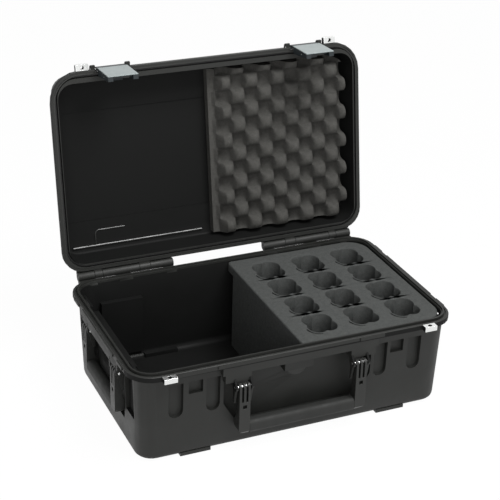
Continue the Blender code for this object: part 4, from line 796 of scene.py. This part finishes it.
class CASE_OT_mic_foam(bpy.types.Operator):
    """Cut the foam block with its twelve four-lobed sockets"""
    bl_idname = "case.mic_foam"
    bl_label = "Microphone foam"

    def cell(self, bounds, centre, outline, top, edges):
        """One cell of the block's top, in rings about the socket's centre: the cell's border, a
        slit by the south-west lobe, a quarter round, the wall and the floor. A ring lies at the
        clover's reach plus an offset, or times a share, and is stretched front to back. The slit's
        depth falls with the fourth power of the angle from that lobe's diagonal."""
        count = SIDE_POINTS
        west, east, south, north = bounds
        step = np.arange(count) / count
        side = {
            "east": np.stack([np.full(count, east), south + (north - south) * step], -1),
            "north": np.stack([east + (west - east) * step, np.full(count, north)], -1),
            "west": np.stack([np.full(count, west), north + (south - north) * step], -1),
            "south": np.stack([west + (east - west) * step, np.full(count, south)], -1),
        }
        border = np.concatenate([side[name] for name in ("east", "north", "west", "south")])
        border = kept_round(border, *outline)
        angle = -np.pi / 4 + np.arange(4 * count) / (4 * count) * 2 * np.pi
        spoke = np.stack([np.cos(angle), SOCKET_STRETCH * np.sin(angle)], -1)
        reach = clover(angle, edges.lobe_radius, edges.lobe_offset)
        lip = edges.lip_radius
        rings, heights = [border], [np.full(4 * count, top)]
        front = np.abs(np.mod(angle + 3 * np.pi / 4 + np.pi, 2 * np.pi) - np.pi)
        slit = SLIT_DEPTH * np.clip(1.0 - (front / SLIT_HALF_ANGLE) ** 4, 0.0, 1.0)
        for offset, cut in SLIT_RINGS:
            rings.append(centre + spoke * (reach + offset)[:, None])
            heights.append(top - slit * cut)
        for turn in np.linspace(0.0, np.pi / 2, ROUND_STEPS):
            rings.append(centre + spoke * (reach + lip * (1 - np.sin(turn)))[:, None])
            heights.append(np.full(4 * count, top - lip * (1 - np.cos(turn))))
        depth = edges.socket_depth
        for share in WALL_DEPTH_SHARES:
            rings.append(centre + spoke * (reach * (1 - WALL_TAPER_SHARE * share))[:, None])
            heights.append(np.full(4 * count, top - depth * share))
        for share in FLOOR_WIDTH_SHARES:
            rings.append(centre + spoke * (reach * share)[:, None])
            heights.append(np.full(4 * count, top - depth))
        rings.append(np.broadcast_to(centre, rings[0].shape))
        heights.append(np.full(4 * count, top - depth))
        points = np.concatenate([np.array(rings), np.array(heights)[..., None]], -1)
        return points, grid_faces(len(rings), 4 * count, False, True), border.reshape(4, count, 2)

    def execute(self, context):
        edges = context.scene.case_edges
        boxes = np.array([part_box(node) for node in MIC_FOAM_NODES])
        low, high = boxes[:, 0].min(0), boxes[:, 1].max(0)
        outline = (low[:2] + BLOCK_EDGE, high[:2] - BLOCK_EDGE, BLOCK_CORNERS)
        centres = np.array(SOCKETS)[:, :, :2].mean(1)
        columns = np.unique(centres[:, 0].round(5))
        rows = np.unique(centres[:, 1].round(5))
        x_lines, y_lines = (
            np.concatenate([[start], (places[1:] + places[:-1]) / 2, [end]])
            for start, places, end in zip(outline[0], (columns, rows), outline[1]))
        parts, sides = [], {}
        for i, x in enumerate(columns):
            for j, y in enumerate(rows):
                bounds = (x_lines[i], x_lines[i + 1], y_lines[j], y_lines[j + 1])
                points, faces, border = self.cell(bounds, np.array([x, y]), outline, high[2], edges)
                parts.append((points, faces))
                sides[i, j] = border
        last_i, last_j = len(columns) - 1, len(rows) - 1
        ring = np.concatenate(
            [sides[i, 0][3] for i in range(last_i + 1)]
            + [sides[last_i, j][0] for j in range(last_j + 1)]
            + [sides[i, last_j][1] for i in range(last_i, -1, -1)]
            + [sides[0, j][2] for j in range(last_j, -1, -1)])
        parts.append(self.skirt(ring, low, high))
        piece = new_piece("mic_foam", parts, open_cell_foam("block_foam",
                                                           finish_settings().block_colour))
        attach(piece, "base")
        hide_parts(*MIC_FOAM_NODES)
        return {"FINISHED"}

    def skirt(self, ring, low, high):
        """The block below its top's outline: a quarter round outwards, the wide top part, then the
        narrower body, which is the same outline drawn in about the middle of the west side."""
        tangent = np.roll(ring, -1, 0) - np.roll(ring, 1, 0)
        outward = np.stack([tangent[:, 1], -tangent[:, 0]], -1)
        outward /= np.linalg.norm(outward, axis=1)[:, None]
        skirt = []
        for turn in np.linspace(0.0, np.pi / 2, ROUND_STEPS):
            skirt.append(np.c_[ring + outward * BLOCK_EDGE * np.sin(turn),
                               np.full(len(ring), high[2] - BLOCK_EDGE * (1 - np.cos(turn)))])
        edge = ring + outward * BLOCK_EDGE
        shrink = np.array([(BODY_EAST - low[0]) / (high[0] - low[0]), BODY_WIDTH_SHARE])
        middle = np.array([low[0], (low[1] + high[1]) / 2])
        inner = middle + (edge - middle) * shrink
        cap = high[2] - BLOCK_TOP_PART
        for flat, height in ((edge, cap + BLOCK_EDGE), (edge, cap), (inner, cap), (inner, low[2])):
            skirt.append(np.c_[flat, np.full(len(ring), height)])
        skirt.append(np.c_[np.broadcast_to(inner.mean(0), ring.shape), np.full(len(ring), low[2])])
        return np.array(skirt), grid_faces(len(skirt), len(ring), False, True)


class CASE_OT_crate_foam(bpy.types.Operator):
    """Mould the convoluted foam pad in the lid"""
    bl_idname = "case.crate_foam"
    bl_label = "Convoluted foam"

    def face(self, low, high, edges):
        """The pad's moulded face. Its thickness is the mean of peak and valley plus half their
        difference times a wave: the cosines along X and Y multiplied, raised to a power under one
        with the sign kept. Columns near the east side are drawn in to follow its round corners."""
        x = np.linspace(low[0], high[0], CRATE_COLUMNS)[None, :]
        y = np.broadcast_to(np.linspace(low[1], high[1], CRATE_ROWS)[:, None],
                            (CRATE_ROWS, CRATE_COLUMNS))
        into = np.maximum(np.maximum(low[1] + CRATE_CORNER - y, y - (high[1] - CRATE_CORNER)), 0.0)
        east = high[0] - CRATE_CORNER + np.sqrt(np.maximum(CRATE_CORNER ** 2 - into ** 2, 0.0))
        start = high[0] - 2 * CRATE_CORNER
        squeezed = start + (x - start) * (east - start) / (high[0] - start)
        x = np.where(x > start, squeezed, x)
        wave = (np.cos(np.pi * (x - low[0]) / edges.crate_pitch)
                * np.cos(np.pi * (y - low[1]) / edges.crate_pitch))
        inward = np.clip((x - low[0] - MARGIN_WIDTH) / MARGIN_SLOPE, 0.0, 1.0)
        wave = (np.sign(wave) * np.abs(wave) ** CRATE_POWER * inward
                + MARGIN_LEVEL * (1.0 - inward))
        swing = (edges.crate_peak - edges.crate_valley) / 2
        thick = (edges.crate_peak + edges.crate_valley) / 2 + swing * wave
        return np.stack([x, y, high[2] - thick], -1)

    def execute(self, context):
        solid = closed_points("lid_crate_foam")
        low, high = solid.min(0), solid.max(0)
        face = self.face(low, high, context.scene.case_edges)
        rim = np.concatenate([face[0, :-1], face[:-1, -1], face[-1, :0:-1], face[:0:-1, 0]])
        back = rim.copy()
        back[:, 2] = high[2]
        centre = np.broadcast_to(back.mean(0), back.shape)
        parts = [(opened(face), grid_faces(CRATE_ROWS, CRATE_COLUMNS)),
                 (opened(np.array([rim, back, centre])), grid_faces(3, len(rim), False, True))]
        piece = new_piece("crate_foam", parts, open_cell_foam("crate_foam_cells",
                                                             finish_settings().crate_colour))
        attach(piece, "lid")
        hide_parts("lid_crate_foam")
        return {"FINISHED"}


class CASE_OT_stage(bpy.types.Operator):
    """Set the floor, the plain light and the camera"""
    bl_idname = "case.stage"
    bl_label = "Stage"

    def sky(self, level):
        """Even grey light on the object, and white where it is seen, mirrored or seen through."""
        world = bpy.data.worlds.new("studio_sky")
        world.use_nodes = True
        nodes, links = world.node_tree.nodes, world.node_tree.links
        light = nodes["Background"]
        light.inputs["Color"].default_value = WHITE
        light.inputs["Strength"].default_value = level
        white = nodes.new("ShaderNodeBackground")
        white.inputs["Color"].default_value = WHITE
        white.inputs["Strength"].default_value = 1.0
        path = nodes.new("ShaderNodeLightPath")
        seen = self.seen(nodes, links, path)
        blend = nodes.new("ShaderNodeMixShader")
        links.new(seen, blend.inputs["Fac"])
        links.new(light.outputs[0], blend.inputs[1])
        links.new(white.outputs[0], blend.inputs[2])
        links.new(blend.outputs[0], nodes["World Output"].inputs["Surface"])
        bpy.context.scene.world = world

    def seen(self, nodes, links, path):
        """One where a ray comes from the camera, a reflection or a transmission."""
        largest = path.outputs["Is Camera Ray"]
        for name in ("Is Glossy Ray", "Is Transmission Ray"):
            either = nodes.new("ShaderNodeMath")
            either.operation = "MAXIMUM"
            links.new(largest, either.inputs[0])
            links.new(path.outputs[name], either.inputs[1])
            largest = either.outputs[0]
        return largest

    def floor(self, half):
        """A level sheet that looks nearly white and still takes the object's soft shadow."""
        material, nodes, links = blank_material("studio_floor")
        nodes.remove(nodes["Principled BSDF"])
        diffuse = nodes.new("ShaderNodeBsdfDiffuse")
        diffuse.inputs["Color"].default_value = FLOOR_COLOUR
        glow = nodes.new("ShaderNodeEmission")
        glow.inputs["Strength"].default_value = 1.0
        share = nodes.new("ShaderNodeMath")
        share.operation = "MULTIPLY"
        share.inputs[1].default_value = FLOOR_WHITE_SHARE
        path = nodes.new("ShaderNodeLightPath")
        links.new(self.seen(nodes, links, path), share.inputs[0])
        blend = nodes.new("ShaderNodeMixShader")
        links.new(share.outputs[0], blend.inputs["Fac"])
        links.new(diffuse.outputs[0], blend.inputs[1])
        links.new(glow.outputs[0], blend.inputs[2])
        links.new(blend.outputs[0], nodes["Material Output"].inputs["Surface"])
        corners = [(-half, -half, 0.0), (half, -half, 0.0), (half, half, 0.0), (-half, half, 0.0)]
        mesh = bpy.data.meshes.new("studio_floor")
        mesh.from_pydata(corners, [], [(0, 1, 2, 3)])
        mesh.materials.append(material)
        linked("studio_floor", mesh)

    def lamp(self, name, place, side, watts):
        """A square lamp that is turned to the object."""
        light = bpy.data.lights.new(name, "AREA")
        light.shape = "RECTANGLE"
        light.size = light.size_y = side
        light.energy = watts
        direction = (Vector(LAMP_AIM) - Vector(place)).normalized()
        linked(name, light).matrix_world = (
            Matrix.Translation(place) @ direction.to_track_quat("-Z", "Y").to_matrix().to_4x4())

    def execute(self, context):
        studio = context.scene.case_studio
        self.sky(studio.sky_level)
        self.floor(studio.floor_half)
        self.lamp("key_lamp", KEY_PLACE, KEY_SIDE, studio.key_watts)
        self.lamp("fill_lamp", FILL_PLACE, FILL_SIDE, studio.fill_watts)
        camera = bpy.data.cameras.new("photo_camera")
        camera.lens = studio.lens
        camera.sensor_width = SENSOR_WIDTH
        eye = linked("photo_camera", camera)
        forward = Vector(studio.camera_aim).normalized()
        up = Vector(studio.camera_up)
        right = forward.cross(up).normalized()
        up = right.cross(forward)
        turn = Matrix((right, up, -forward)).transposed().to_4x4()
        eye.matrix_world = Matrix.Translation(studio.camera_place) @ turn
        bpy.context.scene.camera = eye
        bpy.context.scene.view_settings.view_transform = "Standard"
        return {"FINISHED"}


STEPS = (CASE_OT_shells, CASE_OT_seal, CASE_OT_lid_beads, CASE_OT_plates, CASE_OT_latches,
         CASE_OT_handles, CASE_OT_valve, CASE_OT_mic_foam, CASE_OT_crate_foam, CASE_OT_stage)


class CASE_PT_looks(bpy.types.Panel):
    """The case's pieces and settings"""
    bl_label = "Microphone case"
    bl_space_type = "VIEW_3D"
    bl_region_type = "UI"
    bl_category = "Case"

    def draw(self, context):
        for step in STEPS:
            self.layout.operator(step.bl_idname)
        scene = context.scene
        for group in (scene.case_finish, scene.case_edges, scene.case_studio):
            box = self.layout.box()
            for name in group.__annotations__:
                box.prop(group, name)


CLASSES = (CaseFinish, CaseEdges, CaseStudio, *STEPS, CASE_PT_looks)


def register():
    for cls in CLASSES:
        bpy.utils.register_class(cls)
    bpy.types.Scene.case_finish = PointerProperty(type=CaseFinish)
    bpy.types.Scene.case_edges = PointerProperty(type=CaseEdges)
    bpy.types.Scene.case_studio = PointerProperty(type=CaseStudio)


def unregister():
    del bpy.types.Scene.case_studio
    del bpy.types.Scene.case_edges
    del bpy.types.Scene.case_finish
    for cls in reversed(CLASSES):
        bpy.utils.unregister_class(cls)


def main():
    register()
    for step in STEPS:
        group, name = step.bl_idname.split(".")
        getattr(getattr(bpy.ops, group), name)()


if __name__ == "__main__":
    main()
